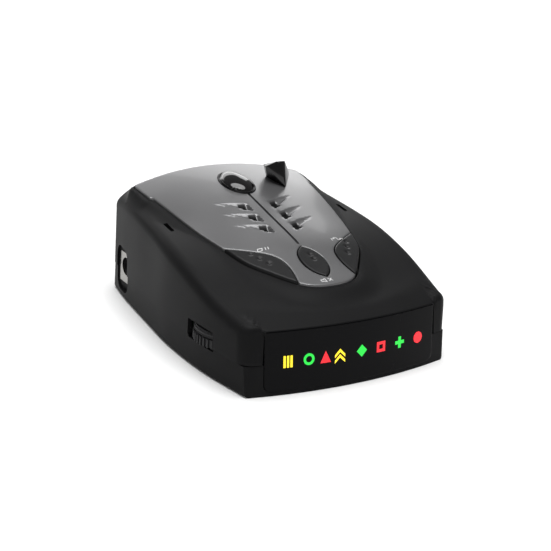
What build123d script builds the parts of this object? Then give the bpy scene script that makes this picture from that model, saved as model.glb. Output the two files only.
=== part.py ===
from build123d import *
import math
import os

os.makedirs("parts", exist_ok=True)

# Dashboard radar detector. Millimetres, +Z up, display facing -Y, horn facing +Y.
# The origin is the middle of the base, so the case stands on z = 0.

# ---------------------------------------------------------------- outer form
case_length = 107.0
case_width = 82.0
front_width = case_width - 8.0
rear_width = case_width - 13.0
front_bow = 4.2
rear_bow = 5.0
front_corner_radius = 2.4
rear_corner_radius = 4.5
front_lean = 0.12
parting_height = 9.5
parting_step = 0.35
base_edge_radius = 1.2
shoulder_radius = 3.4

# Height of the deck and of the top panel along the centre line, from the front.
deck_line = ((0.0, 20.4), (0.07, 22.0), (0.17, 24.5), (0.30, 28.5), (0.46, 32.4), (0.60, 34.5),
             (0.77, 35.7), (0.88, 35.2), (1.0, 33.4))
panel_line = ((0.10, 24.2), (0.15, 26.2), (0.20, 27.7), (0.34, 32.2), (0.50, 36.1), (0.664, 39.9),
              (0.88, 43.6), (1.0, 45.0))
deck_crown = 1100.0
panel_crown = 140.0
crown_level = 35.0

# ---------------------------------------------------------------- walls
wall = 2.0
floor_thickness = 2.0
roof_thickness = 1.6
panel_thickness = 1.6
rim_width = 2.2
rim_drop = 0.5
rear_rim_drop = 1.5
panel_gap = 0.3
lap_height = 1.2
lap_gap = 0.1

# ---------------------------------------------------------------- fits
button_gap = 0.25
window_gap = 0.12
lens_gap = 0.1
board_gap = 0.5
shaft_clearance = 0.05
moving_gap = 0.3

# ---------------------------------------------------------------- display
window_width = 62.0
window_bottom = 1.3
window_top = 19.5
window_thickness = 1.8
window_lip = 1.6
window_corner = 2.2
legend_places = (-23.7, -16.9, -11.3, -6.3, 1.6, 8.9, 16.4, 24.2)
legend_size = 3.6
legend_frame = 0.3
legend_height = 10.2
inlay_depth = 0.4
mask_thickness = 0.6
guide_thickness = 2.6
display_board_thickness = 1.6
led_size = 2.0
led_height = 1.0
display_board_margin = 2.4

# ---------------------------------------------------------------- boards
board_thickness = 1.6
board_underside = 3.4
boss_radius = 3.0
screw_radius = 1.1
screw_head_radius = 2.1
board_inset = 1.6

# ---------------------------------------------------------------- controls
wheel_radius = 11.0
wheel_height = 5.2
wheel_bottom = 9.3
wheel_protrusion = 0.9
wheel_station = 26.6
wheel_ribs = 34
wheel_window_length = 13.6
wheel_window_bottom = 8.8
wheel_window_top = 15.0
shaft_radius = 1.6
pot_radius = 6.5
pot_height = 3.0
button_travel = 0.4
button_proud = 0.25
button_skirt = 1.4
flange_width = 0.8
flange_thickness = 0.8
plunger_radius = 1.6
switch_size = 6.0
switch_height = 3.4
actuator_radius = 1.7
actuator_height = 0.9
key_tilt = 16.0
key_depth = 7.0
key_board_length = 24.0
key_board_width = 40.0
key_post_front_x = 16.5
key_post_rear_x = 14.0
key_station = 32.0

# ---------------------------------------------------------------- power inlet
jack_station = 90.2
jack_height_above_board = 6.0
jack_width = 9.0
jack_tall = 10.6
jack_depth = 12.5
jack_hole_radius = 3.15
jack_pin_radius = 1.0
jack_plate = 0.5
recess_width = 11.5
recess_tall = 15.8
recess_depth = 1.6
recess_corner = 3.6
recess_pad = 1.6

# ---------------------------------------------------------------- antenna, sound
horn_width = 38.0
horn_tall = 21.0
horn_length = 36.0
horn_wall = 1.2
horn_throat = 12.0
cover_width = 48.0
cover_tall = 17.0
cover_bottom = 12.5
cover_thickness = 1.4
speaker_radius = 13.0
speaker_height = 5.4
speaker_station = 40.0
speaker_side = 20.0

front_y = -case_length / 2
rear_y = case_length / 2
half_width = case_width / 2
board_top = board_underside + board_thickness


def station(distance):
    """Y of a point at a distance behind the foremost point of the case."""
    return front_y + distance


# ---------------------------------------------------------------- form builders
# Plan of the side wall: share of the length, and how far it draws in from the widest.
side_plan = ((0.16, 1.7), (0.235, 0.65), (0.36, 0.0), (0.47, 0.25), (0.575, 1.35), (0.79, 3.75))


def side_x(y):
    """Half width of the case at a given y, read off the side plan."""
    share = (y - front_y) / case_length
    table = [(front_bow / case_length, half_width - front_width / 2)]
    table += list(side_plan)
    table.append((1 - rear_bow / case_length, half_width - rear_width / 2))
    for (s0, d0), (s1, d1) in zip(table[:-1], table[1:]):
        if s0 <= share <= s1:
            t = (share - s0) / (s1 - s0)
            return half_width - (d0 + t * (d1 - d0))
    return half_width


def plan(inset):
    """Plan outline of the case side and rear as a face, drawn in by inset and open ahead of the front."""
    nose = front_width / 2 - inset
    tail = rear_width / 2 - inset
    y_nose = front_y + inset
    y_tail = rear_y - inset
    side = [(nose - 1.4, y_nose + front_bow - 8), (nose, y_nose + front_bow)]
    for share, draw in side_plan:
        side.append((half_width - draw - inset, front_y + share * case_length))
    side.append((tail, y_tail - rear_bow))
    right = Spline(*side)
    left = mirror(right, Plane.YZ)
    front = Line((-side[0][0], side[0][1]), side[0])
    rear = ThreePointArc((tail, y_tail - rear_bow), (0, y_tail), (-tail, y_tail - rear_bow))
    face = make_face([front, right, rear, left])
    rows = face.vertices().group_by(Axis.Y)
    return fillet(rows[-1], max(rear_corner_radius - inset, 1.0))


def prism(inset, bottom, top):
    """The case plan as an upright solid between two heights."""
    return Pos(0, 0, bottom) * extrude(plan(inset), top - bottom)


def behind_front(inset, reach=80.0):
    """Everything behind the leaning, bowed front face with its two rounded corners, set back by inset."""
    nose = front_width / 2 - inset + 0.3
    y0 = front_y + inset
    spread = 60.0
    y_corner = y0 + front_bow
    front = ThreePointArc((-nose, y_corner), (0, y0), (nose, y_corner))
    back_y = y_corner + 2 * case_length
    splay = nose + 0.3 * spread
    sides = Polyline((nose, y_corner), (splay, y_corner + spread), (splay, back_y), (-splay, back_y),
                     (-splay, y_corner + spread), (-nose, y_corner))
    face = make_face([front, sides])
    corners = face.vertices().group_by(Axis.Y)[0]
    face = fillet(corners, max(front_corner_radius - inset, 0.6))
    return Solid.extrude(face.face(), Vector(0, front_lean * reach, reach))


def crowned(line, crown, drop=0.0):
    """Everything below a centre-line height curve, bent down to both sides with a large radius."""
    points = [(0, front_y + share * case_length, z - drop) for share, z in line]
    first = points[0]
    last = points[-1]
    slope = (points[1][2] - first[2]) / (points[1][1] - first[1])
    start = (0, first[1] - 30, first[2] - 30 * slope)
    top = Spline(start, *points)
    end = (0, last[1] + 20, last[2])
    base = -20.0
    rest = Polyline(last, end, (0, end[1], base), (0, start[1], base), start)
    face = make_face([top, rest])
    axis = Axis((0, 0, crown_level - crown), (0, 1, 0))
    swing = math.degrees(math.asin(60 / crown))
    return revolve(face.rotate(axis, -swing), axis, 2 * swing)


def height_at(line, y):
    """Height of a centre-line curve at y, by straight steps between its points."""
    share = (y - front_y) / case_length
    for (s0, z0), (s1, z1) in zip(line[:-1], line[1:]):
        if s0 <= share <= s1:
            return z0 + (share - s0) / (s1 - s0) * (z1 - z0)
    return line[-1][1] if share > line[-1][0] else line[0][1]


def mirrored(shape):
    """A shape together with its mirror image across the middle plane."""
    return shape + mirror(shape, Plane.YZ)


# ---------------------------------------------------------------- panel plan
# Right half of the panel edge, as share of the half width and of the length.
panel_edge = ((0.0, 0.156), (0.10, 0.159), (0.20, 0.172), (0.30, 0.205), (0.42, 0.262), (0.52, 0.318),
              (0.578, 0.388), (0.645, 0.49), (0.70, 0.61), (0.75, 0.745))
panel_rear_half = 32.6
panel_step = 0.9
panel_corner_share = 0.85
panel_rear_share = 0.88
panel_corner_radius = 1.4


def pushed(points, grow):
    """Points of an open plan curve moved to its left by grow, square to the curve."""
    moved = []
    for index, (x, y) in enumerate(points):
        before = points[max(index - 1, 0)]
        after = points[min(index + 1, len(points) - 1)]
        run_x = after[0] - before[0]
        run_y = after[1] - before[1]
        length = math.hypot(run_x, run_y)
        moved.append((x - grow * run_y / length, y + grow * run_x / length))
    return moved


def panel_plan(grow):
    """Shield-shaped plan of the top panel, grown outwards all round by grow."""
    edge = [(share_x * half_width, front_y + share_y * case_length) for share_x, share_y in panel_edge]
    corner = (panel_rear_half, front_y + panel_corner_share * case_length)
    moved = pushed(edge + [corner], -grow)
    nose = (0, edge[0][1] - grow)
    corner = (corner[0] + grow, corner[1] + grow)
    step_low = moved[-2]
    step_high = (step_low[0] + panel_step, step_low[1] + panel_step)
    right = Spline(nose, *moved[1:-1], tangents=[(1, 0), (0.15, 1)])
    ledge = Polyline(step_low, step_high, corner)
    rear_mid = (0, front_y + panel_rear_share * case_length + grow)
    rear = ThreePointArc(corner, rear_mid, (-corner[0], corner[1]))
    face = make_face([right, ledge, rear, mirror(ledge, Plane.YZ), mirror(right, Plane.YZ)])
    corners = face.vertices().group_by(Axis.Y)[-1]
    return fillet(corners, panel_corner_radius + grow)


def upright(face, bottom=0.0, top=70.0):
    """A plan face as an upright solid."""
    return Pos(0, 0, bottom) * extrude(face, top - bottom)


# Plans of the three buttons.
def crescent(grow):
    """Plan region outside the inner edge of the right-hand side button, grown by grow."""
    points = ((26.5, 44.6), (22.7, 42.0), (15.2, 36.9), (10.7, 32.6), (9.6, 28.0), (10.1, 23.0), (11.4, 18.0))
    moved = pushed([(x, station(distance)) for x, distance in points], -grow)
    inner = Spline(*moved)
    outer = Polyline(moved[-1], (34.0, moved[-1][1]), (34.0, moved[0][1]), moved[0])
    return make_face([inner, outer])


def mute_plan(grow):
    """Leaf-shaped button on the middle line, grown by grow."""
    side = pushed([(0, station(20.6)), (2.9, station(23.6)), (4.2, station(28.6)), (2.9, station(33.4)),
                   (0, station(36.2))], -grow)
    tip_front = (0, station(20.6) - 1.3 * grow)
    tip_rear = (0, station(36.2) + 1.3 * grow)
    right = Spline(tip_front, *side[1:-1], tip_rear)
    left = mirror(right, Plane.YZ)
    face = make_face([right, left])
    return fillet(face.vertices(), 0.8 + max(grow, 0))


def layer(face, upper, lower):
    """A plan face between two depths below the panel surface."""
    above = crowned(panel_line, panel_crown, upper)
    below = crowned(panel_line, panel_crown, lower)
    return (upright(face) & above) - below


# ---------------------------------------------------------------- brow
def brow_cutter(lower):
    """The wedge taken off in front of the deck, from the window edge up to a bowed crease."""
    sections = []
    for x in (-48, -32, -16, 0, 16, 32, 48):
        side = (x / (front_width / 2)) ** 2
        y_low = front_y + front_lean * (window_top + 0.4) + front_bow * side
        z_low = window_top + 0.4
        y_high = front_y + 7.2 + 9.6 * side
        z_high = height_at(deck_line, y_high) - x * x / (2 * deck_crown)
        dy = y_high - y_low
        dz = z_high - z_low
        a = (x, y_low - dy, z_low - dz - lower)
        b = (x, y_low + 1.6 * dy, z_low + 1.6 * dz - lower)
        wire = Wire.make_polygon([a, b, (x, b[1], 70), (x, a[1], 70)], close=True)
        sections.append(Face(wire))
    return loft(sections)


# ---------------------------------------------------------------- front window
def window_prism(grow, front, rear):
    """The window outline, grown by grow, as a block between two distances from the front."""
    width = window_width + 2 * grow
    tall = window_top - window_bottom + 2 * grow
    plate = Rectangle(width, tall)
    plate = fillet(plate.vertices(), max(window_corner + grow, 0.5))
    middle = (window_top + window_bottom) / 2
    flat = Plane(origin=(0, station(front), middle), x_dir=(1, 0, 0), z_dir=(0, 1, 0))
    return extrude(flat * plate, rear - front)


def legend_shapes():
    """Plain geometric signs for the eight indicators, drawn about the origin."""
    s = legend_size / 2
    bars = Sketch() + [Pos(x, 0) * Rectangle(0.7, 2 * s) for x in (-1.1, 0, 1.1)]
    ring = Circle(s) - Circle(s - 0.8)
    triangle = make_face(Polyline((-s, -s), (s, -s), (0, s), (-s, -s)))
    chevron = make_face(Polyline((-s, 0), (0, s), (s, 0), (s, -0.9), (0, s - 1.0), (-s, -0.9), (-s, 0)))
    chevrons = Sketch() + [Pos(0, 0) * chevron, Pos(0, -1.7) * chevron]
    diamond = Rot(0, 0, 45) * Rectangle(1.5 * s, 1.5 * s)
    square = Rectangle(1.8 * s, 1.8 * s) - Rectangle(0.8 * s, 0.8 * s)
    plus = Rectangle(2 * s, 1.1) + Rectangle(1.1, 2 * s)
    disc = Circle(s)
    return [bars, ring, triangle, chevrons, diamond, square, plus, disc]


def legend_block(front, rear):
    """All the indicator signs as short blocks, standing in a row across the window."""
    blocks = []
    for x, shape in zip(legend_places, legend_shapes()):
        place = Plane(origin=(x, station(front), legend_height), x_dir=(1, 0, 0), z_dir=(0, -1, 0))
        blocks.append(Pos(0, rear - front, 0) * extrude(place * shape, rear - front))
    return blocks


# ---------------------------------------------------------------- shared solids
front_outer = behind_front(0.0)
deck_outer = crowned(deck_line, deck_crown)
deck_inner = crowned(deck_line, deck_crown, wall)
rim_top = crowned(panel_line, panel_crown, rim_drop)
nest_grow = panel_gap + rim_width
stack = panel_thickness + roof_thickness

# Key board frame: its top face lies in this plane, square to the travel of the buttons.
key_y = station(key_station)
key_z = height_at(panel_line, key_y) - stack - key_depth
tilt = math.radians(key_tilt)
key_plane = Plane(origin=(0, key_y, key_z), x_dir=(1, 0, 0), z_dir=(0, -math.sin(tilt), math.cos(tilt)))
switch_places = {"dim": (-16.2, -0.4), "mute": (0.0, -3.4), "city": (16.2, -0.4)}

key_posts = []
for x, y in ((key_post_front_x, 2.0 - key_board_length / 2), (key_post_rear_x, key_board_length / 2 - 2.0)):
    key_posts += [(x, y), (-x, y)]

# Screw posts, as (x, distance from the front).
post_places = ((31.0, 19.5), (-30.5, 44.0), (28.0, 88.0), (-28.5, 72.0))

wheel_y = station(wheel_station)
wheel_x = -(side_x(wheel_y) + wheel_protrusion - wheel_radius)
wheel_axis = Pos(wheel_x, wheel_y, 0)

jack_y = station(jack_station)
jack_z = board_top + jack_height_above_board
jack_middle = board_top + jack_tall / 2
jack_face = -(side_x(jack_y) - recess_depth)

speaker_y = station(speaker_station)
speaker_z = floor_thickness + 0.4

mouth_y = rear_y - wall - rear_bow / 2 - 1.2
throat_y = mouth_y - horn_length
horn_z = cover_bottom + cover_tall / 2


def cylinder_up(radius, bottom, top):
    """An upright cylinder between two heights."""
    return Pos(0, 0, (bottom + top) / 2) * Cylinder(radius, top - bottom)


def box_between(low, high):
    """A block between two corners."""
    size = [b - a for a, b in zip(low, high)]
    middle = [(a + b) / 2 for a, b in zip(low, high)]
    return Pos(*middle) * Box(*size)


# ---------------------------------------------------------------- cutters shared by both case halves
window_pocket = window_prism(window_gap, -20, 30) - behind_front(window_thickness + window_gap)
window_through = window_prism(-window_lip, -20, 9.6)
wheel_cut = box_between((-half_width - 6, wheel_y - wheel_window_length / 2, wheel_window_bottom),
                        (wheel_x, wheel_y + wheel_window_length / 2, wheel_window_top))
wheel_cut = wheel_cut + wheel_axis * cylinder_up(wheel_radius + moving_gap, wheel_window_bottom, wheel_window_top)

recess_flat = Plane(origin=(jack_face, jack_y, jack_middle), x_dir=(0, -1, 0), z_dir=(-1, 0, 0))
recess_plate = fillet(Rectangle(recess_width, recess_tall).vertices(), recess_corner)
recess_cut = extrude(recess_flat * recess_plate, 12)
jack_hole = Rectangle(jack_width + 2 * lens_gap, jack_tall + 2 * lens_gap)
recess_cut = recess_cut + extrude(recess_flat * jack_hole, 12, both=True)
pad_low = (jack_face - recess_depth - 4, jack_y - recess_width / 2 - 1.5, floor_thickness)
pad_high = (jack_face + recess_pad, jack_y + recess_width / 2 + 1.5, jack_middle + recess_tall / 2 + 1.5)
recess_block = box_between(pad_low, pad_high)

cover_box = box_between((-cover_width / 2, rear_y - 16, cover_bottom),
                        (cover_width / 2, rear_y + 5, cover_bottom + cover_tall))
cover_box = fillet(cover_box.edges().filter_by(Axis.Y), 3.0)
cover_pocket = box_between((-cover_width / 2 - lens_gap, rear_y - 16, cover_bottom - lens_gap),
                           (cover_width / 2 + lens_gap, rear_y + 5, cover_bottom + cover_tall + lens_gap))
cover_pocket = fillet(cover_pocket.edges().filter_by(Axis.Y), 3.0)
cover_through = box_between((-cover_width / 2 + 1.6, rear_y - 16, cover_bottom + 1.6),
                            (cover_width / 2 - 1.6, rear_y + 5, cover_bottom + cover_tall - 1.6))
cover_skin = prism(cover_thickness, 0, 60)

nodes = {}

# ---------------------------------------------------------------- upper case
body = prism(0, parting_height, 60) & deck_outer
rim_edges = body.edges().filter_by(lambda e: e.center().Z > parting_height + 6)
rim_edges = rim_edges.filter_by(lambda e: e.length > 40 and abs(e.center().X) > half_width / 2)
body = fillet(rim_edges, shoulder_radius)
body = body & front_outer
body = body - brow_cutter(0.0)
nest = upright(panel_plan(nest_grow), parting_height, 60) & rim_top
panel_corner_y = front_y + panel_corner_share * case_length
rear_rim = box_between((-half_width, panel_corner_y + panel_gap, parting_height), (half_width, rear_y + 5, 60))
nest = nest - (rear_rim - crowned(panel_line, panel_crown, rear_rim_drop))
outside = body + nest

cavity = prism(wall, parting_height - 5, 60) & behind_front(wall)
cavity = cavity & deck_inner
cavity = cavity - brow_cutter(wall + 0.4)
hollow_nest = upright(panel_plan(nest_grow - wall), parting_height - 5, 60)
hollow_nest = hollow_nest & crowned(panel_line, panel_crown, stack)

upper = outside - cavity
upper = upper - hollow_nest
for x, distance in post_places:
    post = Pos(x, station(distance), 0) * cylinder_up(boss_radius, board_top, 60)
    upper = upper + (post & outside)
for x, y in key_posts:
    post = key_plane * (Pos(x, y, 15) * Cylinder(1.8, 30))
    upper = upper + (post & outside)
upper = upper + (recess_block & outside & prism(0.8, parting_height, 60))
panel_recess = upright(panel_plan(panel_gap)) - crowned(panel_line, panel_crown, panel_thickness)
upper = upper - panel_recess
upper = upper - window_pocket
upper = upper - window_through
upper = upper - wheel_cut
upper = upper - recess_cut
upper = upper - (cover_pocket - cover_skin)
upper = upper - cover_through

# Openings over the three buttons.
side_opening = panel_plan(panel_gap) & crescent(button_gap)
side_opening_left = mirror(side_opening, Plane.YZ)
mute_opening = mute_plan(button_gap)
for opening in (side_opening, side_opening_left, mute_opening):
    upper = upper - upright(opening, key_z)

# Dome lens and fin lens seats.
dome_place = Pos(0, station(78.4), 0)
dome_seat = dome_place * Ellipse(4.8 + lens_gap, 6.9 + lens_gap)
upper = upper - upright(dome_seat, 30)
fin_points = ((17.4, 73.6), (20.2, 76.6), (20.8, 83.0), (14.4, 83.0), (14.9, 77.0))
fin_plan = make_face(Polyline(*[(x, station(d)) for x, d in fin_points], close=True))
fin_seat = offset(fin_plan, -0.9)
fin_hole = offset(fin_plan, -0.9 + lens_gap)
upper = upper - upright(fin_hole, 30)

# Small slots on the shoulders for the windscreen bracket.
slot_x = side_x(station(62.4)) - 6.0
slot = box_between((slot_x - 0.7, station(59.6), 31.6), (slot_x + 0.7, station(65.2), 45))
upper = upper - mirrored(slot)

# Laser window in the rear face of the raised nest.
laser_y = front_y + panel_rear_share * case_length + nest_grow
laser_box = box_between((-9.0, laser_y - 12, 37.2), (9.0, laser_y + 3, 41.0))
laser_pocket = box_between((-9.0 - lens_gap, laser_y - 12, 37.2 - lens_gap),
                           (9.0 + lens_gap, laser_y + 3, 41.0 + lens_gap))
laser_skin = upright(panel_plan(nest_grow - 1.2))
upper = upper - (laser_pocket - laser_skin)
upper = upper - box_between((-7.5, laser_y - 6, 38.2), (7.5, laser_y + 3, 39.8))

# Threads for the case screws.
for x, distance in post_places:
    upper = upper - Pos(x, station(distance), 0) * cylinder_up(screw_radius, board_top - 1, 14.0)
nodes["upper_case"] = upper

# ---------------------------------------------------------------- lower case
low = prism(parting_step, 0, parting_height)
low = fillet(low.edges().group_by(Axis.Z)[0], base_edge_radius)
low = low & behind_front(parting_step)
low_outside = low
low_cavity = prism(parting_step + wall, floor_thickness, 60) & behind_front(parting_step + wall)
lower = low - low_cavity
tongue = prism(wall + lap_gap, parting_height - 2.0, parting_height + lap_height)
tongue = tongue & behind_front(wall + lap_gap)
tongue = tongue - prism(wall + lap_gap + 0.9, 0, 60)
lower = lower + tongue
for x, distance in post_places:
    boss = Pos(x, station(distance), 0) * cylinder_up(boss_radius, floor_thickness - 0.5, board_underside)
    lower = lower + boss
    lower = lower - Pos(x, station(distance), 0) * cylinder_up(screw_head_radius + 0.2, -1, 1.2)
    lower = lower - Pos(x, station(distance), 0) * cylinder_up(screw_radius + 0.2, 0, board_underside + 1)
lower = lower + (recess_block & low_outside & prism(parting_step + 0.8, 0, parting_height))
lower = lower - window_pocket
lower = lower - window_through
lower = lower - wheel_cut
lower = lower - recess_cut
lower = lower - box_between((pad_low[0], pad_low[1] - lap_gap, parting_height),
                            (pad_high[0] + lap_gap, pad_high[1] + lap_gap, 60))
lower = lower - box_between((-window_width / 2 + 1, front_y - 5, floor_thickness + 0.4),
                            (window_width / 2 - 1, station(9.6), 60))
for index in range(-3, 4):
    slit = 2 * math.sqrt((speaker_radius - 3.5) ** 2 - (index * 2.6) ** 2)
    lower = lower - Pos(speaker_side, speaker_y + index * 2.6, 0) * Box(slit, 1.3, 10)
lower = lower - Pos(-6, 0, 0) * Box(32.2, 18.2, 0.6)
for x, distance in post_places:
    clear = Pos(x, station(distance), 0) * cylinder_up(boss_radius + 0.1, board_top, parting_height + 5)
    lower = lower - clear
nodes["lower_case"] = lower
nodes["rating_plate"] = Pos(-6, 0, 0.15) * Box(32.0, 18.0, 0.3)

# ---------------------------------------------------------------- top panel
panel = layer(panel_plan(0), 0, panel_thickness)
side_away = crescent(button_gap)
panel = panel - upright(side_away, 10)
panel = panel - upright(mirror(side_away, Plane.YZ), 10)
panel = panel - upright(mute_plan(button_gap), 10)
panel = panel - upright(dome_seat, 10)
panel = panel - upright(fin_hole, 10)
groove = box_between((-0.4, station(37.4), 10), (0.4, station(72.0), 60))
panel = panel - (groove - crowned(panel_line, panel_crown, 0.9))
gill_pitch = 7.05
for index in range(3):
    front_edge = 45.2 + index * gill_pitch
    gill = make_face(Polyline((4.5, station(front_edge)), (4.5, station(front_edge + 5.2)),
                              (15.4, station(front_edge + 8.4)), close=True))
    scoop = upright(gill) - crowned(panel_line, panel_crown, 0.8)
    throat = upright(gill & Pos(4.5, station(front_edge + 3), 0) * Rectangle(6.0, 12))
    panel = panel - mirrored(scoop)
    panel = panel - mirrored(throat)
nodes["top_panel"] = panel

# ---------------------------------------------------------------- front window, legends, display
window = window_prism(0, -20, 30) & front_outer
window = window - behind_front(window_thickness)
signs = legend_block(-10, 30)
inlay_skin = behind_front(inlay_depth)
inlays = []
for sign in signs:
    inlays.append((sign & front_outer) - inlay_skin)
for inlay in inlays:
    window = window - inlay
nodes["display_window"] = window
nodes["legend_inlays"] = Compound(children=[solid for inlay in inlays for solid in inlay.solids()])

mask_front = behind_front(window_thickness + window_gap)
mask_rear = behind_front(window_thickness + window_gap + mask_thickness)
mask_plate = window_prism(-window_lip - window_gap, -20, 30)
mask = (mask_plate & mask_front) - mask_rear
guide_front = behind_front(window_thickness + 2 * window_gap + mask_thickness)
guide_y = station(front_lean * window_top + front_bow + window_thickness + mask_thickness + 0.6 + guide_thickness)
guide = mask_plate & guide_front
guide = guide & box_between((-half_width, front_y - 5, 4.4), (half_width, guide_y, 16.0))
leds = []
frame_half = legend_size / 2 + legend_frame
for x in legend_places:
    mask = mask - box_between((x - frame_half, front_y - 5, legend_height - frame_half),
                              (x + frame_half, guide_y, legend_height + frame_half))
    pocket = Pos(x, guide_y, legend_height) * Box(led_size + 0.6, 2 * (led_height + 0.3), led_size + 0.6)
    guide = guide - pocket
    leds.append(Pos(x, guide_y - led_height / 2, legend_height) * Box(led_size, led_height, led_size))
nodes["legend_mask"] = mask
nodes["light_guide"] = guide
nodes["display_leds"] = Compound(children=leds)
display_rear = guide_y + display_board_thickness
nodes["display_board"] = box_between((-window_width / 2 + display_board_margin, guide_y, floor_thickness + 0.6),
                                     (window_width / 2 - display_board_margin, display_rear, 17.2))

# ---------------------------------------------------------------- main board and what it carries
board_front = display_rear + board_gap
board_face = plan(wall + parting_step + board_inset)
board_face = board_face & Pos(0, board_front + 100) * Rectangle(200, 200)
board_face = board_face - Pos(speaker_side, speaker_y) * Circle(speaker_radius + board_gap)
board_face = board_face - Pos(jack_face - 3 + 4.0, jack_y) * Rectangle(10, recess_width + 4)
for x, distance in post_places:
    board_face = board_face - Pos(x, station(distance)) * Circle(screw_radius + 0.3)
nodes["main_board"] = Pos(0, 0, board_underside) * extrude(board_face, board_thickness)
nodes["header"] = box_between((-11, board_front + 0.6, board_top), (11, board_front + 3.2, board_top + 2.6))
chip = box_between((-15, station(37), board_top), (-5, station(47), board_top + 1.4))
nodes["processor"] = chamfer(chip.edges().group_by(Axis.Z)[-1], 0.3)
cans = [Pos(x, station(d), 0) * cylinder_up(3.0, board_top, board_top + 7.5)
        for x, d in ((25.5, 62.0), (25.5, 70.0), (-24.0, 58.0))]
nodes["capacitors"] = Compound(children=cans)
nodes["regulator"] = box_between((-20, station(62), board_top), (-13.4, station(71), board_top + 2.2))

# ---------------------------------------------------------------- horn antenna and receiver
mouth = Plane(origin=(0, mouth_y, horn_z), x_dir=(1, 0, 0), z_dir=(0, 1, 0))
throat_plane = Plane(origin=(0, throat_y, horn_z), x_dir=(1, 0, 0), z_dir=(0, 1, 0))
outer_horn = loft([throat_plane * Rectangle(20, 12), mouth * Rectangle(horn_width, horn_tall)])
inner_horn = loft([throat_plane * Rectangle(20 - 2 * horn_wall, 12 - 2 * horn_wall),
                   mouth * Rectangle(horn_width - 2 * horn_wall, horn_tall - 2 * horn_wall)])
guide_box = box_between((-10, throat_y - horn_throat, horn_z - 6), (10, throat_y, horn_z + 6))
guide_bore = box_between((-10 + horn_wall, throat_y - horn_throat + horn_wall, horn_z - 6 + horn_wall),
                         (10 - horn_wall, throat_y, horn_z + 6 - horn_wall))
horn_base = horn_z - horn_tall / 2
foot_rear = box_between((-14, mouth_y - 4, board_top), (14, mouth_y - 1, horn_base + horn_wall / 2))
foot_front = box_between((-5, throat_y - horn_throat, board_top), (5, throat_y - 2, horn_z - 6 + horn_wall / 2))
horn = (outer_horn + guide_box + foot_rear + foot_front) - inner_horn - guide_bore
nodes["horn_antenna"] = horn
receiver_y = throat_y - horn_throat
nodes["receiver_board"] = box_between((-16, receiver_y - 1.2, board_top), (16, receiver_y, horn_z + 8))
shield = box_between((-12, receiver_y - 5.6, horn_z - 6), (12, receiver_y - 1.2, horn_z + 6))
nodes["receiver_shield"] = fillet(shield.edges().filter_by(Axis.Y), 1.0)
cover = (cover_box & prism(0, parting_height + 0.5, 60)) - cover_skin
nodes["horn_cover"] = cover
laser_window = (laser_box & upright(panel_plan(nest_grow))) - laser_skin
nodes["laser_window"] = laser_window
laser_cell = box_between((-5, laser_y - 9.2, 34.9), (5, laser_y - 4.2, 39.2))
nodes["laser_sensor"] = laser_cell
nodes["laser_bracket"] = box_between((-4, laser_y - 8.6, horn_z + horn_tall / 2 - 1.2), (4, laser_y - 5.2, 34.9))

# ---------------------------------------------------------------- lenses on the panel
dome_z = height_at(panel_line, station(78.4))
dome_tilt = math.degrees(math.atan(0.16))
dome = Pos(0, station(78.4), dome_z - 0.4) * Rot(dome_tilt, 0, 0) * scale(Sphere(1), by=(5.9, 8.3, 3.2))
dome = dome - crowned(panel_line, panel_crown, 0)
stem = layer(dome_place * Ellipse(4.8, 6.9), -0.2, stack + 0.4)
nodes["dome_lens"] = dome + stem
fin = upright(fin_plan, 30, 52) - crowned(panel_line, panel_crown, 0)
fin = fin - Pos(17.6, station(73.6), 48.4) * Rot(-12, 0, 0) * Pos(0, 0, 5) * Box(30, 40, 10)
fin = fin - Pos(17.9, station(73.6), 48.4) * Rot(-12, 22, 0) * Pos(10, 0, 5) * Box(20, 40, 10)
fin = fin - Pos(17.9, station(73.6), 48.4) * Rot(-12, -14, 0) * Pos(-10, 0, 5) * Box(20, 40, 10)
fin_stem = layer(fin_seat, -0.2, stack + 0.4)
nodes["fin_lens"] = fin + fin_stem

# ---------------------------------------------------------------- buttons and key board
cap_top = -button_proud
cap_bottom = stack + moving_gap + flange_thickness
side_face = panel_plan(0) & crescent(0)
side_flange = panel_plan(0) & crescent(flange_width + button_gap)
plunger_top = 12.0


def plunger(name):
    """Rod from the cap down to the switch, square to the key board."""
    x, y = switch_places[name]
    rest = switch_height + actuator_height
    rod = key_plane * (Pos(x, y, rest + plunger_top / 2) * Cylinder(plunger_radius, plunger_top))
    return rod & crowned(panel_line, panel_crown, stack)


city = layer(side_face, cap_top, cap_bottom)
city = city + layer(side_flange, stack + moving_gap, cap_bottom)
dim = mirror(city, Plane.YZ)
mute = layer(mute_plan(0), cap_top, cap_bottom)
mute = mute + layer(mute_plan(button_gap + flange_width), stack + moving_gap, cap_bottom)
nodes["city_button"] = city + plunger("city")
nodes["dim_button"] = dim + plunger("dim")
nodes["mute_button"] = mute + plunger("mute")

board = Pos(0, 0, -board_thickness / 2) * Box(key_board_width, key_board_length, board_thickness)
nodes["key_board"] = key_plane * board
for name, (x, y) in switch_places.items():
    case = Pos(x, y, switch_height / 2) * Box(switch_size, switch_size, switch_height)
    bore_depth = actuator_height + button_travel + 0.5
    bore = Pos(x, y, switch_height) * Cylinder(actuator_radius + shaft_clearance, 2 * bore_depth)
    nodes[name + "_switch"] = key_plane * (case - bore)
    bottom = switch_height - 0.9
    top = switch_height + actuator_height
    cap = Pos(x, y, (bottom + top) / 2) * Cylinder(actuator_radius, top - bottom)
    nodes[name + "_actuator"] = key_plane * cap
for name in ("dome", "fin"):
    x, distance = {"dome": (0, 78.4), "fin": (17.6, 79.0)}[name]
    top = height_at(panel_line, station(distance)) - stack - 3.2
    nodes[name + "_led"] = box_between((x - 1.6, station(distance) - 1.6, top - 1.4),
                                       (x + 1.6, station(distance) + 1.6, top))

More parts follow.
